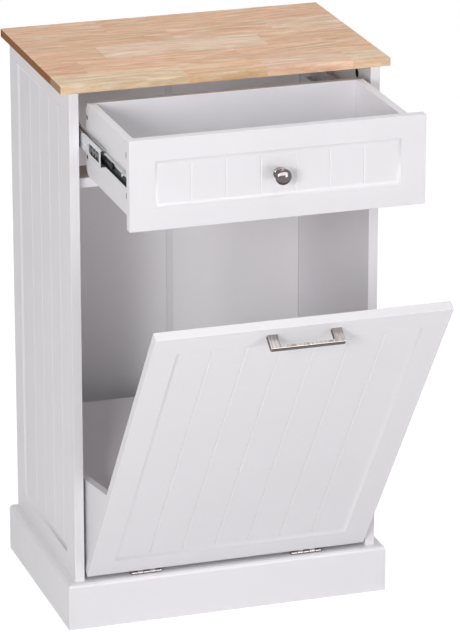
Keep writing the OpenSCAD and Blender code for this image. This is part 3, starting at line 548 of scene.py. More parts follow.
@dataclass(frozen=True)
class Metal(Finish):
    """Plated or rolled metal, brushed along one axis, with lines that are depth millimetres deep."""

    name: str
    colour: Colour
    gloss: Flat
    along: Point = (0.02, 1.0, 1.0)
    fineness: float = 1500.0
    depth: float = 0.02
    shade: float = 0.25
    gloss_scale: float = 160.0

    def lay(self, desk: Desk, shader: Node, place: NodeSocket) -> None:
        """Lays the metal's nodes."""
        height, streak = self.lines(desk, place, self.along)
        dull = desk.spread(streak, 0.0, self.shade, 0.35, 0.7)
        tone = self.drifting(desk, place, self.colour, 60.0, 0.06)
        self.plate(desk, shader, place, desk.mix(dull, tone, shaded(self.colour, 0.55)), height)

    def lines(self, desk: Desk, place: NodeSocket, along: Point) -> tuple[NodeSocket, NodeSocket]:
        """Returns the height and the shade of the brush lines."""
        given = {"Vector": place, "Along": along, "Fineness": self.fineness}
        brushed = desk.group(EFFECTS.brushed, given).outputs
        return brushed["Height"], brushed["Shade"]

    def plate(self, desk: Desk, shader: Node, place: NodeSocket, colour: NodeSocket,
              height: NodeSocket) -> None:
        """Feeds the shader as bare metal of a colour, with this relief."""
        desk.feed(shader.inputs["Base Color"], colour)
        desk.feed(shader.inputs["Roughness"], self.handled(desk, place, self.gloss, self.gloss_scale))
        shader.inputs["Metallic"].default_value = 1.0
        self.bump(desk, shader, height, self.depth * MM, 0.5)


@dataclass(frozen=True)
class RubbedNickel(Metal):
    """Nickel of the tilted door's squared pull, brushed along its stretches, with painted shade on the
    faces that don't face up and a painted highlight, as rubbed wear, along its edges.
    """

    tilt: float = 0.0
    # The colour of the edges: rubbed wear and a painted highlight
    rubbed: Colour = (0.66, 0.62, 0.59)
    # The lighter colour of the faces that face up; the darker colour of the other faces is painted shade
    top: Colour = (0.36, 0.33, 0.32)
    along_bar: Point = (0.05, 1.0, 1.0)
    along_leg: Point = (1.0, 0.05, 1.0)

    def lay(self, desk: Desk, shader: Node, place: NodeSocket) -> None:
        """Lays the nickel's nodes."""
        turn = (-self.tilt, 0.0, 0.0)
        local = desk.add("Mapping", {"Vector": place, "Rotation": turn}).outputs[0]
        normal = desk.add("TexCoord").outputs["Normal"]
        facing = desk.add("Mapping", {"Vector": normal, "Rotation": turn}, vector_type="VECTOR")
        across, out, up = (desk.math("ABSOLUTE", part) for part in desk.split(facing.outputs[0]))
        # Painted light: faces that face up take the lighter top colour, the others the dark colour, which
        # is painted shade
        on_top = desk.math("GREATER_THAN", up, 0.7)
        _, bar = self.lines(desk, local, self.along_bar)
        _, leg = self.lines(desk, local, self.along_leg)
        streak = desk.mix(on_top, bar, leg)
        light = desk.spread(streak, 0.0, 1.0, 0.4, 0.62)
        front = desk.mix(light, self.colour, shaded(self.colour, 2.0))
        light_above = desk.spread(streak, 0.0, 1.0, 0.36, 0.6)
        above = desk.mix(light_above, shaded(self.top, 0.5), self.top)
        # Painted highlight along the edges, in the rubbed colour, also standing for rubbed wear
        flat = desk.math("MAXIMUM", desk.math("MAXIMUM", across, out), up)
        edge = desk.spread(flat, 1.0, 0.0, 0.9, 0.998)
        colour = desk.mix(edge, desk.mix(on_top, front, above), self.rubbed)
        self.plate(desk, shader, place, colour, streak)


@dataclass(frozen=True)
class TrackSteel(Metal):
    """Zinc steel of a slide's track, with painted shade below a height."""

    # The colour of the painted shade
    grease: Colour = (0.035, 0.04, 0.042)
    grease_top: float = 0.0

    def lay(self, desk: Desk, shader: Node, place: NodeSocket) -> None:
        """Lays the steel's nodes, then the painted shade over its colour."""
        super().lay(desk, shader, place)
        unshaded = shader.inputs["Base Color"].links[0].from_socket
        # Painted shade: darker below a height, with a wobbly edge
        edge_wobble = desk.noise(desk.vector("MULTIPLY", place, (1.0, 0.15, 1.0)), 500.0, detail=2.0)
        height = desk.math("MULTIPLY_ADD", edge_wobble, -1.6 * MM, desk.split(place)[2])
        shade_mask = desk.spread(height, 1.0, 0.0, self.grease_top - 1.4 * MM, self.grease_top - 0.6 * MM)
        desk.feed(shader.inputs["Base Color"], desk.mix(shade_mask, unshaded, self.grease))


@dataclass(frozen=True)
class RaceSteel(Metal):
    """Zinc steel of a slide's track, with a painted shadow line where the balls run on its flange."""

    # The colour of the painted shadow line
    grease: Colour = (0.05, 0.054, 0.056)
    race_x: float = 0.0
    race_half: float = 1.2 * MM
    race_from: float = 0.0

    def lay(self, desk: Desk, shader: Node, place: NodeSocket) -> None:
        """Lays the steel's nodes, then the painted shadow line over its colour."""
        super().lay(desk, shader, place)
        unshaded = shader.inputs["Base Color"].links[0].from_socket
        x, _, z = desk.split(place)
        # Painted shadow line along the race, above a height
        away = desk.math("ABSOLUTE", desk.math("SUBTRACT", desk.math("ABSOLUTE", x), self.race_x))
        line = desk.spread(away, 0.85, 0.0, 0.5 * self.race_half, self.race_half)
        shade_mask = desk.math("MULTIPLY", line, desk.math("GREATER_THAN", z, self.race_from))
        desk.feed(shader.inputs["Base Color"], desk.mix(shade_mask, unshaded, self.grease))


@dataclass(frozen=True)
class Plastic(Finish):
    """Moulded plastic, or an alloy painted near black all over as the shade of its bores, with a fine
    matt texture.
    """

    name: str
    colour: Colour
    gloss: Flat = (0.38, 0.5)
    index: float = 1.46
    texture_scale: float = 2600.0
    texture_depth: float = 0.02 * MM

    def lay(self, desk: Desk, shader: Node, place: NodeSocket) -> None:
        """Lays the plastic's nodes."""
        relief = desk.group(EFFECTS.relief, {"Vector": place, "Scale": self.texture_scale,
                                             "Waviness": 0.5})
        desk.feed(shader.inputs["Base Color"], self.drifting(desk, place, self.colour, 90.0, 0.05))
        desk.feed(shader.inputs["Roughness"], self.handled(desk, place, self.gloss, 300.0))
        shader.inputs["IOR"].default_value = self.index
        self.bump(desk, shader, relief.outputs["Height"], self.texture_depth, 0.6)


@dataclass(frozen=True)
class BareWood(Finish):
    """Unfinished beech, with its fibre along X."""

    name: str
    colour: Colour
    fibre_length: float = 5.0
    grain_depth: float = 0.05 * MM

    def lay(self, desk: Desk, shader: Node, place: NodeSocket) -> None:
        """Lays the beech's nodes."""
        fibre = desk.group(EFFECTS.fibre, {"Vector": place, "Length": self.fibre_length}).outputs
        streaks = fibre["Streaks"]
        wood = desk.mix(desk.spread(streaks, 0.0, 0.6, 0.4, 0.7), self.colour, shaded(self.colour, 0.7))
        wood = desk.mix(desk.math("MULTIPLY", fibre["Pores"], 0.5), wood, shaded(self.colour, 0.4))
        desk.feed(shader.inputs["Base Color"], wood)
        desk.feed(shader.inputs["Roughness"], desk.spread(streaks, 0.55, 0.75, 0.3, 0.7))
        self.bump(desk, shader, streaks, self.grain_depth, 0.6)


WORKTOP_ROWS = (0.054, 0.124, 0.193, 0.262)
WORKTOP_STAVES = (
    Stave(0, -1.0, StaveTone.STRAW), Stave(0, -0.060, StaveTone.HONEY), Stave(0, 0.062, StaveTone.PEACH),
    Stave(0, 0.195, StaveTone.STRAW),
    Stave(1, -1.0, StaveTone.ROSE), Stave(1, -0.196, StaveTone.TAN), Stave(1, 0.048, StaveTone.TAN),
    Stave(2, -1.0, StaveTone.TAN), Stave(2, -0.147, StaveTone.PALE), Stave(2, 0.105, StaveTone.TAN),
    Stave(3, -1.0, StaveTone.TAN), Stave(3, -0.018, StaveTone.TAN), Stave(3, 0.140, StaveTone.PEACH),
    Stave(4, -1.0, StaveTone.TAN), Stave(4, -0.105, StaveTone.TAN), Stave(4, 0.150, StaveTone.ROSE),
)

STAVE_FIGURES = (
    Figure("Bands", (0.0, 0.6), 0.2, 1.0, (0.84, 0.78, 0.71)),
    Figure("Streaks", (0.9, 0.0), 0.32, 0.56, (0.85, 0.79, 0.73)),
    Figure("Streaks", (0.0, 0.4), 0.52, 0.7, (1.0, 0.93, 0.82), "MIX"),
    Figure("Fine", (0.0, 0.6), 0.5, 0.72, (0.82, 0.76, 0.70)),
)

SLIDE_LOW, SLIDE_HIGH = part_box("left_slide_drawer_member")
SLIDE_Z = (SLIDE_LOW.z + SLIDE_HIGH.z) / 2
# Along X, the hollow of the slides' middle members where the balls run
RACE_X = 218.7 * MM
# Along Y, where the back panels turn from film to bare board, and a place behind everything
BARE_FROM = 331.2 * MM
NEVER_BARE = 10.0
# Along X, the painted shadow lines where the film meets the seam strip and the side panels
SEAM_GAP = 5.2 * MM
WALL_GAP = 224.6 * MM
DOOR_JOINT = next(joint for joint in frame["joints"] if joint["name"] == "door_tilt")
DOOR_TILT = math.radians(-DOOR_JOINT["range_deg"][0])
HINGE_AXIS = Vector(DOOR_JOINT["pos_m"])
DOOR_PLACE = Matrix.Translation(HINGE_AXIS) @ Matrix.Rotation(DOOR_TILT, 4, "X")

ALONG_SLIDE = (1.0, 0.03, 1.0)
ALONG_KNOB = (1.0, 0.05, 1.0)
UNBRUSHED = (1.0, 1.0, 1.0)

WHITE_PAINT = Paint("white_paint_satin", (0.86, 0.84, 0.872))
BACK_FILM = Film("back_panel_film", (0.955, 0.937, 0.96), BARE_FROM,
                 ((SEAM_GAP, 0.8), (-WALL_GAP, 0.6), (WALL_GAP, 0.6)))
DRAWER_FILM = Film("drawer_bottom_film", (0.79, 0.785, 0.805), NEVER_BARE)
RUBBERWOOD = Staves("rubberwood_staves", WORKTOP_ROWS, WORKTOP_STAVES, STAVE_FIGURES)
SEAM_PLASTIC = Plastic("white_seam_plastic", (0.87, 0.865, 0.88))
# The pull's dark colour is painted shade on its faces that don't face up
NICKEL = RubbedNickel("brushed_dark_nickel", (0.085, 0.070, 0.072), (0.26, 0.38), tilt=DOOR_TILT)
HINGE_NICKEL = Metal("hinge_nickel", (0.33, 0.31, 0.305), (0.2, 0.32), fineness=1100.0, depth=0.01)
KNOB_NICKEL = Metal("polished_dark_nickel", (0.168, 0.144, 0.146), (0.08, 0.16), ALONG_KNOB, 900.0, 0.006,
                    0.3)
ZINC_STEEL = Metal("bright_zinc_steel", (0.60, 0.61, 0.62), (0.24, 0.36), ALONG_SLIDE, 1300.0, 0.015)
# Painted shade over the lower part of the drawer members, below a height
TRACK_STEEL = TrackSteel("greased_track_steel", (0.56, 0.565, 0.57), (0.42, 0.56), ALONG_SLIDE, 1300.0,
                         grease_top=SLIDE_Z + 1.5 * MM)
# Painted shadow line along the middle members' race
RACE_STEEL = RaceSteel("greased_race_steel", (0.60, 0.61, 0.62), (0.24, 0.36), ALONG_SLIDE, 1300.0, 0.015,
                       race_x=RACE_X, race_from=SLIDE_Z + 12 * MM)
# Near black all over: painted shade of the bores that the cam discs sit in
CAM_ALLOY = Plastic("blackened_cam_alloy", (0.012, 0.011, 0.012), (0.55, 0.7), 1.28)
FASTENER_STEEL = Metal("zinc_fastener_steel", (0.50, 0.49, 0.47), (0.22, 0.36), UNBRUSHED, 1600.0, 0.01)
DARK_SCREW_STEEL = Metal("dark_screw_steel", (0.07, 0.066, 0.066), (0.3, 0.42), UNBRUSHED, 1600.0, 0.01)
# Dark steel all over, for the ball cages
CAGE_STEEL = Metal("oiled_cage_steel", (0.09, 0.093, 0.095), (0.3, 0.42), ALONG_SLIDE, 1300.0, 0.015)
BLACK_PLASTIC = Plastic("black_moulded_plastic", (0.006, 0.006, 0.007), (0.45, 0.6), 1.28)
BEECH = BareWood("bare_beech", (0.60, 0.42, 0.25))


class Bench:
    """Where pieces are made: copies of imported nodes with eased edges, and meshes of their own."""

    weld = 0.001 * MM
    flat_angle = math.radians(1.0)
    corner_angle = math.radians(25.0)
    smooth_angle = math.radians(50.0)
    shortest = 3 * MM
    crisp_edge = 0.22 * MM

    def copy_of(self, node: str) -> BMesh:
        """Returns a node's mesh with its loose triangles merged into flat faces."""
        bm = bmesh.new()
        bm.from_mesh(NODES[node].data)
        bmesh.ops.remove_doubles(bm, verts=bm.verts, dist=self.weld)
        bmesh.ops.dissolve_limit(bm, angle_limit=self.flat_angle, use_dissolve_boundaries=False,
                                 verts=bm.verts, edges=bm.edges, delimit=set())
        return bm

    def corners(self, bm: BMesh, shortest: float) -> list[BMEdge]:
        """Returns the edges between faces that meet at a corner, down to a shortest length."""
        return [e for e in bm.edges if e.is_manifold and e.calc_face_angle(0.0) > self.corner_angle
                and e.calc_length() > shortest]

    def block(self, low: Vector, high: Vector) -> BMesh:
        """Returns a box between two corners."""
        bm = bmesh.new()
        place = Matrix.Translation((low + high) / 2) @ Matrix.Diagonal((*(high - low), 1.0))
        bmesh.ops.create_cube(bm, size=1.0, matrix=place)
        return bm

    def edges_where(self, bm: BMesh, test: Callable[[Vector, Vector], bool]) -> list[BMEdge]:
        """Returns the edges whose middle and whose direction pass a test."""
        ends = ((edge, edge.verts[0].co, edge.verts[1].co) for edge in bm.edges)
        return [edge for edge, a, b in ends if test((a + b) / 2, (b - a).normalized())]

    def score(self, bm: BMesh, point: Vector, across: Vector, clear: bool = False) -> list[BMEdge]:
        """Cuts a mesh through along a plane.

        Args:
            bm: the mesh.
            point: a point on the plane.
            across: the plane's normal.
            clear: whether what lies beyond the plane goes.

        Returns:
            The edges on the cut.
        """
        cut = bmesh.ops.bisect_plane(bm, geom=[*bm.verts, *bm.edges, *bm.faces], plane_co=point,
                                     plane_no=across, clear_outer=clear)
        return [g for g in cut["geom_cut"] if isinstance(g, BMEdge)]

    def cut_away(self, bm: BMesh, point: Vector, outwards: Vector) -> None:
        """Cuts off what lies beyond a plane, and closes the cut."""
        bmesh.ops.edgenet_fill(bm, edges=self.score(bm, point, outwards, clear=True))
        bmesh.ops.recalc_face_normals(bm, faces=bm.faces)

    def turned(self, profile: Sequence[Flat], centre: Vector, axis: Vector, across: Vector,
               steps: int = 64) -> BMesh:
        """Turns a profile round an axis, as on a lathe.

        Args:
            profile: points as a radius and a height along the axis, from one pole to the other.
            centre: where the axis starts.
            axis: the direction of the heights.
            across: the direction in which the profile is drawn.
            steps: how many steps the full turn has.

        Returns:
            The closed mesh.
        """
        bm = bmesh.new()
        points = [bm.verts.new(centre + across * r + axis * h) for r, h in profile]
        line = [bm.edges.new(pair) for pair in zip(points, points[1:])]
        bmesh.ops.spin(bm, geom=[*points, *line], cent=centre, axis=axis, angle=math.tau, steps=steps,
                       use_merge=True)
        bmesh.ops.remove_doubles(bm, verts=bm.verts, dist=self.weld)
        bmesh.ops.recalc_face_normals(bm, faces=bm.faces)
        return bm

    def ease(self, bm: BMesh, edges: Iterable[BMEdge], radius: float, segments: int = 2,
             clamp: bool = True) -> None:
        """Rounds edges with this radius, which a clamp may lower where faces are narrow."""
        bmesh.ops.bevel(bm, geom=list(edges), offset=radius, offset_type="OFFSET", segments=segments,
                        profile=0.5, affect="EDGES", clamp_overlap=clamp, material=-1)

    def drawn(self, outline: Iterable[Point], way: Vector) -> BMesh:
        """Returns a closed flat outline drawn out by a way, with both ends closed."""
        bm = bmesh.new()
        face = bm.faces.new([bm.verts.new(point) for point in outline])
        far = bmesh.ops.extrude_face_region(bm, geom=[face], use_keep_orig=True)
        bmesh.ops.translate(bm, verts=[g for g in far["geom"] if isinstance(g, BMVert)], vec=way)
        bmesh.ops.recalc_face_normals(bm, faces=bm.faces)
        return bm

    def solids(self, node: str, place: Matrix) -> list[tuple[Vector, Vector]]:
        """Returns the box of each separate solid of a node, in the local frame of a place."""
        bm = self.copy_of(node)
        bm.transform(place.inverted())
        left, boxes = set(bm.verts), []
        while left:
            found = [left.pop()]
            for vert in found:
                near = {edge.other_vert(vert) for edge in vert.link_edges} & left
                left -= near
                found.extend(near)
            boxes.append(box_of(found))
        bm.free()
        return boxes

    def gather(self, parts: Iterable[tuple[BMesh, Matrix]]) -> BMesh:
        """Joins meshes, each put in its place, into one mesh. The given ones are freed."""
        whole = bmesh.new()
        for bm, place in parts:
            bm.transform(place)
            mesh = bpy.data.meshes.new("part")
            bm.to_mesh(mesh)
            bm.free()
            whole.from_mesh(mesh)
            bpy.data.meshes.remove(mesh)
        return whole

    def placed(self, name: str, bm: BMesh, material: Material) -> Object:
        """Returns a new object in the scene, of a mesh in its place, which is freed."""
        mesh = bpy.data.meshes.new(name)
        bm.to_mesh(mesh)
        bm.free()
        mesh.materials.append(material)
        obj = bpy.data.objects.new(name, mesh)
        bpy.context.scene.collection.objects.link(obj)
        return obj

    def piece(self, name: str, bm: BMesh, finish: Finish, body: str,
              replaced: Sequence[str] = ()) -> Object:
        """Makes a finished piece of a mesh and reports it.

        Args:
            name: the piece's name.
            bm: its mesh, in place. It is freed.
            finish: its surface.
            body: the body that it rides on.
            replaced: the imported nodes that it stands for.

        Returns:
            The new object.
        """
        obj = self.placed(name, bm, finish.material())
        obj.data.shade_smooth()
        obj.data.set_sharp_from_angle(angle=self.smooth_angle)
        even = obj.modifiers.new("even_shading", "WEIGHTED_NORMAL")
        even.keep_sharp = True
        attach(obj, body)
        if replaced:
            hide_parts(*replaced)
        log.info("%s: %d faces, on %s", name, len(obj.data.polygons), body)
        return obj

    def eased(self, node: str, finish: Finish, radius: float, segments: int = 2) -> Object:
        """Makes a copy of a node with eased edges, which stands for it.

        Args:
            node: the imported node.
            finish: its surface.
            radius: the radius of its edges.
            segments: how many steps round each edge.

        Returns:
            The new object.
        """
        bm = self.copy_of(node)
        self.ease(bm, self.corners(bm, self.shortest), radius, segments)
        return self.stand_in("eased_" + node, bm, finish, node)

    def routed(self, node: str, finish: Finish, radius: float,
               place: Matrix = Matrix.Identity(4)) -> Object:
        """Makes a copy of a routed board, with crisp edges inside its outline, which stands for it.

        Args:
            node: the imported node.
            finish: its surface.
            radius: the radius of its outline's edges.
            place: the local frame in which the board stands square.

        Returns:
            The new object.
        """
        bm = self.copy_of(node)
        bm.transform(place.inverted())
        low, high = box_of(bm.verts)

        def on_outline(edge: BMEdge) -> bool:
            """Returns whether an edge lies on two planes of the board's box."""
            middle = (edge.verts[0].co + edge.verts[1].co) / 2
            return sum(min(m - a, b - m) < TOUCH for m, a, b in zip(middle, low, high)) > 1

        crisp = [e for e in self.corners(bm, self.shortest) if not on_outline(e)]
        self.ease(bm, crisp, self.crisp_edge, 1)
        self.ease(bm, [e for e in self.corners(bm, self.shortest) if on_outline(e)], radius)
        bm.transform(place)
        return self.stand_in("eased_" + node, bm, finish, node)

    def stand_in(self, name: str, bm: BMesh, finish: Finish, node: str) -> Object:
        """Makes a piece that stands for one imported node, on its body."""
        return self.piece(name, bm, finish, str(NODES[node]["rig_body"]), (node,))

    def finish_node(self, node: str, finish: Finish) -> None:
        """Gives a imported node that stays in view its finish."""
        obj = NODES[node]
        if not obj.material_slots:
            obj.data.materials.append(None)
        for material_slot in obj.material_slots:
            material_slot.material = finish.material()
        log.info("%s keeps its shape, in %s", node, finish.name)


BENCH = Bench()


@dataclass(frozen=True)
class Fastener:
    """A screw with a cross recess, or a nail without one, with its crown at its origin.

    Its shank runs along -Z. The cross is a share of the head's radius, its arm a share of its reach and
    its depth a share of the head's height. A head that isn't sunk is rounded, in steps that are shares of
    its height: how far in from its rim, and how far down.
    """

    head_r: float
    head_t: float
    shank_r: float
    sunk: bool = False
    cross: float = 0.58
    cross_arm: float = 0.2
    cross_depth: float = 0.8
    cross_taper: float = 0.6
    rounding: tuple[Flat, ...] = ((0.35, 0.0), (0.1, 0.12), (0.0, 0.4))
    steps: int = 24

    def made(self, length: float) -> BMesh:
        """Returns a fastener of this length."""
        bm = bmesh.new()
        rounding = () if self.sunk else self.rounding
        rings = [(self.head_r - inset * self.head_t, -drop * self.head_t) for inset, drop in rounding]
        rings.append((self.head_r, 0.0 if self.sunk else -self.head_t))
        bmesh.ops.create_circle(bm, cap_ends=True, segments=self.steps, radius=rings.pop(0)[0])
        if self.cross:
            self._recess(bm)
        point = min(2 * self.shank_r, 0.5 * (length - self.head_t))
        rings += [(self.shank_r, -self.head_t), (self.shank_r, point - length)]
        for radius, height in rings:
            rim = [e for e in bm.edges if e.is_boundary]
            bmesh.ops.extrude_edge_only(bm, edges=rim)
            for vert in {v for e in bm.edges if e.is_boundary for v in e.verts}:
                flat = vert.co.xy.normalized() * radius
                vert.co = (flat.x, flat.y, height)
        tip = list({v for e in bm.edges if e.is_boundary for v in e.verts})
        bmesh.ops.pointmerge(bm, verts=tip, merge_co=(0.0, 0.0, -length))
        bmesh.ops.recalc_face_normals(bm, faces=bm.faces)
        return bm

    def _recess(self, bm: BMesh) -> None:
        """Sinks a tapered cross into the crown."""
        reach = self.cross * self.head_r
        arm = self.cross_arm * reach
        for axis in (Vector((1, 0, 0)), Vector((0, 1, 0))):
            for offset in (-reach, -arm, arm, reach):
                BENCH.score(bm, axis * offset, axis)
        middles = {f: f.calc_center_median() for f in bm.faces}
        cross = [f for f, m in middles.items()
                 if min(abs(m.x), abs(m.y)) < arm and max(abs(m.x), abs(m.y)) < reach]
        sunk = bmesh.ops.extrude_face_region(bm, geom=cross)
        for vert in [g for g in sunk["geom"] if isinstance(g, BMVert)]:
            vert.co = (*(self.cross_taper * vert.co.xy), -self.cross_depth * self.head_t)
        bmesh.ops.delete(bm, geom=[f for f in cross if f.is_valid], context="FACES_ONLY")

    def fitted(self, node: str, name: str, finish: Finish, facing: Callable[[Vector], Vector],
               place: Matrix = Matrix.Identity(4)) -> None:
        """Puts one fastener in each of a node's solids.

        Args:
            node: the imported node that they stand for.
            name: the new piece's name.
            finish: their surface.
            facing: gives the way that a head faces from the middle of its solid, both in the local frame.
            place: the local frame.
        """
        parts = []
        for low, high in BENCH.solids(node, place):
            middle, half = (low + high) / 2, (high - low) / 2
            way = facing(middle)
            reach = abs(way.dot(half))
            turn = way.to_track_quat("Z", "Y").to_matrix().to_4x4()
            crown = Matrix.Translation(middle + way * reach)
            parts.append((self.made(2 * reach), place @ crown @ turn))
        BENCH.stand_in(name, BENCH.gather(parts), finish, node)


SIDE_SCREW = Fastener(3.35 * MM, 1.2 * MM, 1.6 * MM, sunk=True)
TRACK_SCREW = Fastener(3.3 * MM, 1.2 * MM, 1.6 * MM)
BOARD_SCREW = Fastener(3.5 * MM, 2.0 * MM, 1.6 * MM, sunk=True)
HANDLE_SCREW = Fastener(4.25 * MM, 2.4 * MM, 1.9 * MM)
BACK_NAIL = Fastener(2.4 * MM, 0.8 * MM, 0.8 * MM, cross=0.0)


def outwards(middle: Vector) -> Vector:
    """Returns the way along X that leads away from the cabinet's middle."""
    return Vector((math.copysign(1.0, middle.x), 0.0, 0.0))


def inwards(middle: Vector) -> Vector:
    """Returns the way along X that leads towards the cabinet's middle."""
    return -outwards(middle)


def backwards(middle: Vector) -> Vector:
    """Returns the way along Y, to the rear."""
    return Vector((0.0, 1.0, 0.0))


@dataclass
class Carcass:
    """The fixed cabinet: sides, bottom, back, rail and skirting, and what holds them together."""

    board_edge: float = 0.7 * MM
    skirting_round: float = 6 * MM
    skirting_steps: int = 8
    skirting_edge: float = 0.5 * MM
    thin_edge: float = 0.3 * MM

    def build(self) -> None:
        """Builds and dresses the boards and their fasteners."""
        for node in ("left_side_panel", "right_side_panel"):
            BENCH.routed(node, WHITE_PAINT, self.board_edge)
        for node in ("bottom_panel", "drawer_rail"):
            BENCH.eased(node, WHITE_PAINT, self.board_edge)
        self._front_skirting()
        for side in Side:
            self._side_skirting(side)
        for node in ("left_back_panel", "right_back_panel"):
            BENCH.finish_node(node, BACK_FILM)
        BENCH.eased("back_seam_strip", SEAM_PLASTIC, self.thin_edge)
        BENCH.finish_node("carcass_dowels", BEECH)
        BENCH.finish_node("carcass_cam_locks", CAM_ALLOY)
        for node in ("carcass_cam_bolts", "skirting_screws"):
            BENCH.finish_node(node, FASTENER_STEEL)
        BACK_NAIL.fitted("back_panel_nails", "domed_back_nails", FASTENER_STEEL, backwards)

    def _front_skirting(self) -> None:
        """Makes the front skirting, rounded along its top and mitred at both ends."""
        low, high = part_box("front_skirting")
        bm = BENCH.block(low, high)
        top = BENCH.edges_where(bm, lambda mid, along: abs(along.x) > MOSTLY and mid.z > high.z - MM
                                and mid.y < 0)
        BENCH.ease(bm, top, self.skirting_round, self.skirting_steps)
        for side in Side:
            corner = Vector((low.x if side is Side.LEFT else high.x, low.y, low.z))
            BENCH.cut_away(bm, corner, Vector((side.value, 1.0, 0.0)).normalized())
        BENCH.stand_in("rounded_front_skirting", bm, WHITE_PAINT, "front_skirting")

    def _side_skirting(self, side: Side) -> None:
        """Makes one side skirting, rounded along its top and mitred at its front."""
        node = side.name.lower() + "_skirting"
        low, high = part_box(node)
        bm = BENCH.block(low, high)
        outer = low.x if side is Side.LEFT else high.x
        top = BENCH.edges_where(bm, lambda mid, along: abs(along.y) > MOSTLY and mid.z > high.z - MM
                                and abs(mid.x - outer) < MM)
        BENCH.ease(bm, top, self.skirting_round, self.skirting_steps)
        BENCH.cut_away(bm, Vector((outer, low.y, low.z)), Vector((-side.value, -1.0, 0.0)).normalized())
        rear = BENCH.edges_where(bm, lambda mid, along: mid.y > high.y - 0.1 * MM)
        BENCH.ease(bm, rear, self.skirting_edge)
        BENCH.stand_in("rounded_" + node, bm, WHITE_PAINT, node)


@dataclass
class Worktop:
    """The top board of glued staves."""

    long_edge: float = 2.475 * MM
    corner: float = 1.5 * MM
    edge_steps: int = 5
    corner_steps: int = 3

    def build(self) -> None:
        """Builds the board, with eased corners and rounded edges."""
        low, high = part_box("top_board")
        bm = BENCH.block(low, high)
        corners = BENCH.edges_where(bm, lambda mid, along: abs(along.z) > MOSTLY)
        BENCH.ease(bm, corners, self.corner, self.corner_steps)
        edges = BENCH.edges_where(bm, lambda mid, along: abs(along.z) < HARDLY)
        BENCH.ease(bm, edges, self.long_edge, self.edge_steps)
        BENCH.stand_in("staved_top_board", bm, RUBBERWOOD, "top_board")


@dataclass
class Drawer:
    """The drawer box with its front and knob."""

    front_edge: float = 0.8 * MM
    box_edge: float = 0.6 * MM
    knob_head: float = 6 * MM
    knob_foot_r: float = 9 * MM
    knob_foot: float = 1.6 * MM
    knob_lip: float = 0.4 * MM
    knob_waist_r: float = 5.5 * MM
    knob_flare: float = 5 * MM

    def build(self) -> None:
        """Builds and dresses the drawer."""
        BENCH.routed("drawer_front", WHITE_PAINT, self.front_edge)
        for node in ("left_drawer_side", "right_drawer_side", "drawer_back"):
            BENCH.eased(node, WHITE_PAINT, self.box_edge)
        BENCH.finish_node("drawer_bottom", DRAWER_FILM)
        BENCH.finish_node("drawer_cam_locks", CAM_ALLOY)
        BENCH.finish_node("drawer_cam_bolts", FASTENER_STEEL)
        BOARD_SCREW.fitted("drawer_back_screws", "cross_head_drawer_back_screws", DARK_SCREW_STEEL,
                           outwards)
        HANDLE_SCREW.fitted("knob_screw", "cross_head_knob_screw", FASTENER_STEEL, backwards)
        self._knob()

    def _knob(self) -> None:
        """Turns the mushroom knob: a foot, a waist and a domed head with a rounded rim."""
        low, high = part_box("drawer_knob")
        head_r = (high.x - low.x) / 2
        centre = Vector(((low.x + high.x) / 2, high.y, (low.z + high.z) / 2))
        reach = high.y - low.y
        rim = reach - self.knob_head
        foot, lip = (self.knob_foot_r - self.knob_lip, self.knob_foot), self.knob_lip
        flare_r, under_r = foot[0] - self.knob_waist_r, head_r - self.knob_waist_r
        profile = [(0.0, 0.0)]
        profile += arc((foot[0], lip), (lip, lip), -90, 0)
        profile += arc((foot[0], foot[1] - lip), (lip, lip), 0, 90)
        profile += arc((foot[0], foot[1] + self.knob_flare), (flare_r, self.knob_flare), 270, 180)[1:]
        profile += arc((head_r, rim - self.knob_flare), (under_r, self.knob_flare), 180, 90)
        profile += arc((0.0, rim), (head_r, self.knob_head), 0, 90)[1:-1]
        profile.append((0.0, reach))
        bm = BENCH.turned(profile, centre, Vector((0, -1, 0)), Vector((1, 0, 0)))
        BENCH.stand_in("turned_knob", bm, KNOB_NICKEL, "drawer_knob")


@dataclass(frozen=True)
class Track:
    """The section of a slide member: the middle line of its upper half, from its web to its rim."""

    path: tuple[Flat, ...]
    steel: float = 1.2 * MM

    def outline(self, wall: float, side: Side, middle: float) -> list[Flat]:
        """Returns the closed outline of the whole section.

        Args:
            wall: where the side panel's inner face is, along X.
            side: the side that the slide is on.
            middle: the height of the slide's middle.

        Returns:
            Its points, as X and Z.
        """
        line = [Vector((x, -z)) for x, z in reversed(self.path)]
        line += [Vector(point) for point in self.path]
        steps = [(b - a).normalized() for a, b in zip(line, line[1:])]
        across = [Vector((-s.y, s.x)) for s in steps]
        offsets = [across[0]]
        offsets += [(a + b) / (1 + a.dot(b)) for a, b in zip(across, across[1:])]
        offsets.append(across[-1])
        edge = [p + o * (self.steel / 2) for p, o in zip(line, offsets)]
        edge += [p - o * (self.steel / 2) for p, o in reversed(list(zip(line, offsets)))]
        return [(wall - side.value * p.x, middle + p.y) for p in edge]


def rolled(*points: Flat) -> tuple[Flat, ...]:
    """Returns a track's points in metres, given in millimetres."""
    return tuple((x * MM, z * MM) for x, z in points)


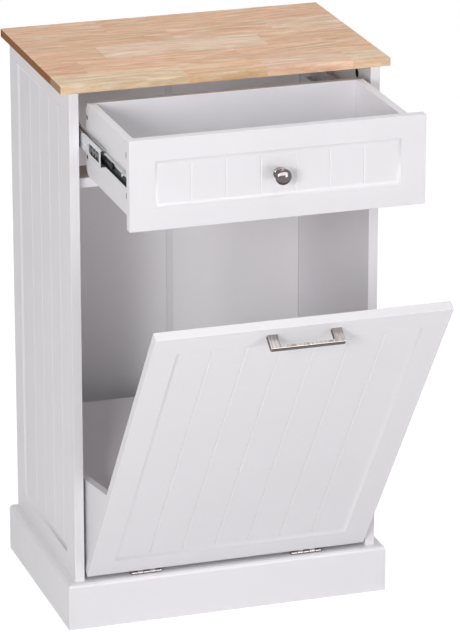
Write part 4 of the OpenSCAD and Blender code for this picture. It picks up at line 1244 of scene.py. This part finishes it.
@dataclass
class Slides:
    """The two ball slides under the drawer's sides."""

    cabinet_track: Track = Track(rolled((0.6, 15.4), (0.9, 16.4), (1.8, 16.9), (8.0, 16.9), (8.7, 16.5),
                                        (8.9, 15.3)))
    middle_track: Track = Track(rolled((2.8, 10.6), (3.0, 12.0), (3.9, 12.9), (5.0, 12.8), (6.3, 12.2),
                                       (7.4, 12.8), (9.2, 12.9), (10.0, 12.4), (10.2, 11.3)))
    drawer_track: Track = Track(rolled((11.9, 7.4), (11.7, 8.4), (11.0, 8.9), (9.6, 8.5), (8.4, 8.4),
                                       (7.5, 8.9)))
    window: Flat = (6 * MM, 58 * MM)
    window_half: float = 7.5 * MM
    rim_edge: float = 0.25 * MM
    boss_l: float = 15 * MM
    boss_h: float = 8.4 * MM
    boss_t: float = 0.7 * MM
    boss_rim: float = 0.5 * MM
    boss_slope: float = 1.0 * MM
    boss_dish: float = 0.8
    boss_at: float = 40 * MM

    def build(self) -> None:
        """Builds and dresses the slides."""
        for side in Side:
            name = side.name.lower() + "_slide_"
            self._member(name + "cabinet_member", side, self.cabinet_track, ZINC_STEEL)
            self._member(name + "middle_member", side, self.middle_track, RACE_STEEL, windowed=True)
            self._member(name + "drawer_member", side, self.drawer_track, TRACK_STEEL, bossed=True)
            for cage in ("outer_cage", "inner_cage"):
                BENCH.finish_node(name + cage, CAGE_STEEL)
            BENCH.finish_node(name + "release_lever", BLACK_PLASTIC)
        SIDE_SCREW.fitted("slide_screws_in_sides", "cross_head_side_screws", FASTENER_STEEL, inwards)
        TRACK_SCREW.fitted("slide_screws_in_drawer", "cross_head_track_screws", FASTENER_STEEL, outwards)

    def _member(self, node: str, side: Side, track: Track, finish: Finish, windowed: bool = False,
                bossed: bool = False) -> None:
        """Rolls one member and cuts or embosses it.

        Args:
            node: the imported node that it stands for.
            side: the side that it is on.
            track: its section.
            finish: its surface.
            windowed: whether its web has the window over the ball cage.
            bossed: whether its web has an embossed seat for the front screw.
        """
        low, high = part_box(node)
        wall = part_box("left_slide_cabinet_member")[0].x * -side.value
        outline = [(x, low.y, z) for x, z in track.outline(wall, side, SLIDE_Z)]
        bm = BENCH.drawn(outline, Vector((0.0, high.y - low.y, 0.0)))
        if windowed:
            self._cut_window(bm, low.y)
        ends = BENCH.edges_where(bm, lambda mid, along: abs(along.y) < HARDLY
                                 and min(mid.y - low.y, high.y - mid.y) < TOUCH)
        BENCH.ease(bm, ends, self.rim_edge, 1)
        parts = [(bm, Matrix.Identity(4))]
        if bossed:
            web = wall - side.value * (track.path[0][0] - track.steel / 2)
            place = Matrix.Translation((web, low.y + self.boss_at, SLIDE_Z))
            turn = Matrix.Rotation(side.value * math.pi / 2, 4, "Y")
            parts.append((self._boss(), place @ turn))
        BENCH.stand_in("rolled_" + node, BENCH.gather(parts), finish, node)

    def _cut_window(self, bm: BMesh, front: float) -> None:
        """Cuts the window into the web, with its walls."""
        start, end = (front + w for w in self.window)
        low, high = SLIDE_Z - self.window_half, SLIDE_Z + self.window_half
        for point, normal in (((0, start, 0), (0, 1, 0)), ((0, end, 0), (0, 1, 0)),
                              ((0, 0, low), (0, 0, 1)), ((0, 0, high), (0, 0, 1))):
            BENCH.score(bm, Vector(point), Vector(normal))
        bm.normal_update()
        opened = [f for f in bm.faces if abs(f.normal.x) > MOSTLY
                  and start < f.calc_center_median().y < end and low < f.calc_center_median().z < high]
        bmesh.ops.delete(bm, geom=opened, context="FACES_ONLY")
        loose = [e for e in bm.edges if not e.link_faces]
        bmesh.ops.delete(bm, geom=loose, context="EDGES")
        rims = [e for e in bm.edges if e.is_boundary]
        bmesh.ops.bridge_loops(bm, edges=rims)
        bmesh.ops.recalc_face_normals(bm, faces=bm.faces)

    def _boss(self) -> BMesh:
        """Makes an oblong seat round a screw, along Y and raised along Z, dished inside its rim."""
        radius, straight = self.boss_h / 2, (self.boss_l - self.boss_h) / 2
        half = arc((0.0, straight), (radius, radius), 0, 180, 10)
        points = [*half, *((-x, -y) for x, y in half)]
        bm = BENCH.drawn([(x, y, 0.0) for x, y in points], Vector((0.0, 0.0, self.boss_t)))
        top = max(bm.faces, key=lambda f: f.calc_center_median().z)
        for inset in (self.boss_rim, self.boss_slope):
            bmesh.ops.inset_region(bm, faces=[top], thickness=inset)
        bmesh.ops.translate(bm, verts=top.verts, vec=(0.0, 0.0, -self.boss_dish * self.boss_t))
        bmesh.ops.recalc_face_normals(bm, faces=bm.faces)
        return bm


@dataclass
class TiltDoor:
    """The door with its pull, its bin tray and the tray's cheeks."""

    door_edge: float = 0.8 * MM
    tray_edge: float = 0.6 * MM
    pull_edge: float = 0.55 * MM
    pull_leg_w: float = 15 * MM
    pull_bar_t: float = 5 * MM
    pull_corner: float = 3 * MM
    corner_steps: int = 8

    def build(self) -> None:
        """Builds and dresses the door."""
        BENCH.routed("door_panel", WHITE_PAINT, self.door_edge, DOOR_PLACE)
        for node in ("left_tray_cheek", "right_tray_cheek", "bin_tray"):
            BENCH.eased(node, WHITE_PAINT, self.tray_edge)
        self._pull()
        BENCH.finish_node("door_dowels", BEECH)
        HANDLE_SCREW.fitted("pull_screws", "cross_head_pull_screws", FASTENER_STEEL, backwards,
                            DOOR_PLACE)
        BENCH.finish_node("tray_screws", FASTENER_STEEL)

    def _pull(self) -> None:
        """Makes the squared pull: a bar on two legs, with small inner corners and eased edges."""
        low, high = BENCH.solids("door_pull", DOOR_PLACE)[0]
        inner, bar = low.x + self.pull_leg_w, low.y + self.pull_bar_t
        corner = self.pull_corner
        left = arc((inner + corner, bar + corner), (corner, corner), 180, 270, self.corner_steps)
        middle = low.x + high.x
        right = [(middle - x, y) for x, y in reversed(left)]
        outline = [(high.x, high.y), (high.x, low.y), (low.x, low.y), (low.x, high.y), (inner, high.y),
                   *left, *right, (middle - inner, high.y)]
        bm = BENCH.drawn([(x, y, low.z) for x, y in outline], Vector((0.0, 0.0, high.z - low.z)))
        bm.normal_update()
        edges = [e for e in BENCH.corners(bm, 0.0) if min(v.co.y for v in e.verts) < high.y - 0.1 * MM]
        BENCH.ease(bm, edges, self.pull_edge, 3)
        bm.transform(DOOR_PLACE)
        BENCH.stand_in("squared_door_pull", bm, NICKEL, "door_pull")


@dataclass
class Hinges:
    """The two butt hinges at the door's foot."""

    knuckle_edge: float = 0.75 * MM
    knuckle_r: float = 2.3 * MM

    def build(self) -> None:
        """Builds and dresses the hinges."""
        for side in Side:
            for leaf in ("lower", "door"):
                self._leaf(f"{side.name.lower()}_hinge_{leaf}_leaf")
        for node in ("hinge_pins", "hinge_screws_in_floor", "hinge_screws_in_door"):
            BENCH.finish_node(node, FASTENER_STEEL)

    def _leaf(self, node: str) -> None:
        """Makes a leaf whose knuckles have rounded ends."""
        bm = BENCH.copy_of(node)
        ends = BENCH.edges_where(bm, lambda mid, along: abs(along.x) < HARDLY
                                 and (mid - HINGE_AXIS).yz.length < self.knuckle_r)
        outer = [e for e in ends if (e.verts[0].co - HINGE_AXIS).yz.length > 0.8 * self.knuckle_r]
        BENCH.ease(bm, outer, self.knuckle_edge, 2, clamp=False)
        BENCH.stand_in("rounded_" + node, bm, HINGE_NICKEL, node)


WHITE = (1.0, 1.0, 1.0)


@dataclass
class Lamp:
    """A soft lamp: its bearing from the front, its height angle, distance, size and power.

    A lamp with a height is a strip, which only shows as a reflection.
    """

    name: str
    azimuth: float
    elevation: float
    distance: float
    size: float
    power: float
    height: float = 0.0


@dataclass
class Studio:
    """The floor, the light and the camera."""

    aim: Point = (0.0595, 0.172, 0.4045)
    azimuth: float = -18.0
    elevation: float = 19.35
    distance: float = 6.17
    lens: float = 225.0
    sensor: float = 36.0
    room_light: float = 0.28
    floor_r: float = 6.0
    floor_tone: float = 0.82
    floor_shadow: float = 0.32
    floor_glow: float = 0.89
    lamps: tuple[Lamp, ...] = (
        Lamp("key", -37.0, 15.5, 4.0, 1.2, 62.0),
        Lamp("fill", 28.0, 2.0, 4.0, 1.2, 23.0),
        Lamp("top", 0.0, 85.0, 2.8, 1.6, 24.0),
        Lamp("strip", -8.0, 22.0, 4.0, 9.0, 270.0, 2.0),
    )

    def build(self) -> None:
        """Builds the floor, the world, the lamps and the camera."""
        self._floor()
        self._world()
        for lamp in self.lamps:
            self._lamp(lamp)
        self._camera()

    def _plain_view(self, desk: Desk) -> NodeSocket:
        """Returns 1 where a ray from the camera, a reflection or a refraction meets the surroundings."""
        path = desk.add("LightPath").outputs
        seen = desk.math("ADD", path["Is Camera Ray"], path["Is Glossy Ray"])
        return desk.math("ADD", seen, path["Is Transmission Ray"], clamp=True)

    def _floor(self) -> None:
        """Makes a round floor that shows white and keeps the object's shadow."""
        bm = bmesh.new()
        bmesh.ops.create_circle(bm, cap_ends=True, cap_tris=False, segments=96, radius=self.floor_r)
        material = bpy.data.materials.new("studio_floor")
        desk = cleared(material)
        plain, faint = (desk.add("BsdfDiffuse", {"Color": (tone, tone, tone)})
                        for tone in (self.floor_tone, self.floor_shadow))
        glow = desk.add("Emission", {"Color": WHITE, "Strength": self.floor_glow})
        both = desk.add("AddShader", {0: faint.outputs[0], 1: glow.outputs[0]})
        desk.add("OutputMaterial", {"Surface": self._shown(desk, plain, both)})
        BENCH.placed("studio_floor", bm, material)

    def _shown(self, desk: Desk, lighting: Node, seen: Node) -> NodeSocket:
        """Returns a shader that lights the object in one way and is seen in another."""
        return desk.add("MixShader", {0: self._plain_view(desk), 1: lighting.outputs[0],
                                      2: seen.outputs[0]}).outputs[0]

    def _world(self) -> None:
        """Makes the surroundings: even soft light, and white where they are seen."""
        world = bpy.data.worlds.new("studio")
        bpy.context.scene.world = world
        desk = cleared(world)
        soft = desk.add("Background", {"Color": WHITE, "Strength": self.room_light})
        white = desk.add("Background", {"Color": WHITE, "Strength": 1.0})
        desk.add("OutputWorld", {"Surface": self._shown(desk, soft, white)})

    def _aimed(self, name: str, data: ID, azimuth: float, elevation: float, distance: float) -> Object:
        """Makes a lamp or the camera of its data, round the aim and turned towards it.

        Args:
            name: its name.
            data: its data.
            azimuth: its bearing from the front, in degrees.
            elevation: its height angle, in degrees.
            distance: how far from the aim it is.

        Returns:
            The new object.
        """
        a, e = math.radians(azimuth), math.radians(elevation)
        back = Vector((math.sin(a) * math.cos(e), -math.cos(a) * math.cos(e), math.sin(e)))
        obj = bpy.data.objects.new(name, data)
        bpy.context.scene.collection.objects.link(obj)
        obj.location = Vector(self.aim) + back * distance
        obj.rotation_euler = (-back).to_track_quat("-Z", "Y").to_euler()
        return obj

    def _lamp(self, lamp: Lamp) -> None:
        """Makes one soft lamp that points at the object."""
        data = bpy.data.lights.new(lamp.name, "AREA")
        data.shape = "RECTANGLE" if lamp.height else "DISK"
        data.size = lamp.size
        data.size_y = lamp.height
        data.energy = lamp.power
        obj = self._aimed(lamp.name, data, lamp.azimuth, lamp.elevation, lamp.distance)
        obj.visible_diffuse = not lamp.height
        log.info("lamp %s: %.0f W", lamp.name, lamp.power)

    def _camera(self) -> None:
        """Makes the camera at the photograph's angle."""
        data = bpy.data.cameras.new("camera")
        data.lens = self.lens
        data.sensor_width = self.sensor
        data.clip_start = 0.1
        data.clip_end = 100.0
        camera = self._aimed("camera", data, self.azimuth, self.elevation, self.distance)
        bpy.context.scene.camera = camera


def main() -> None:
    """Builds the studio and the cabinet's sub-assemblies in order."""
    logging.basicConfig(level=logging.INFO, format="%(message)s")
    bpy.context.scene.view_settings.view_transform = "Standard"
    for part in (Studio(), Carcass(), Worktop(), Drawer(), Slides(), TiltDoor(), Hinges()):
        log.info("%s", type(part).__name__)
        part.build()


if __name__ == "__main__":
    main()
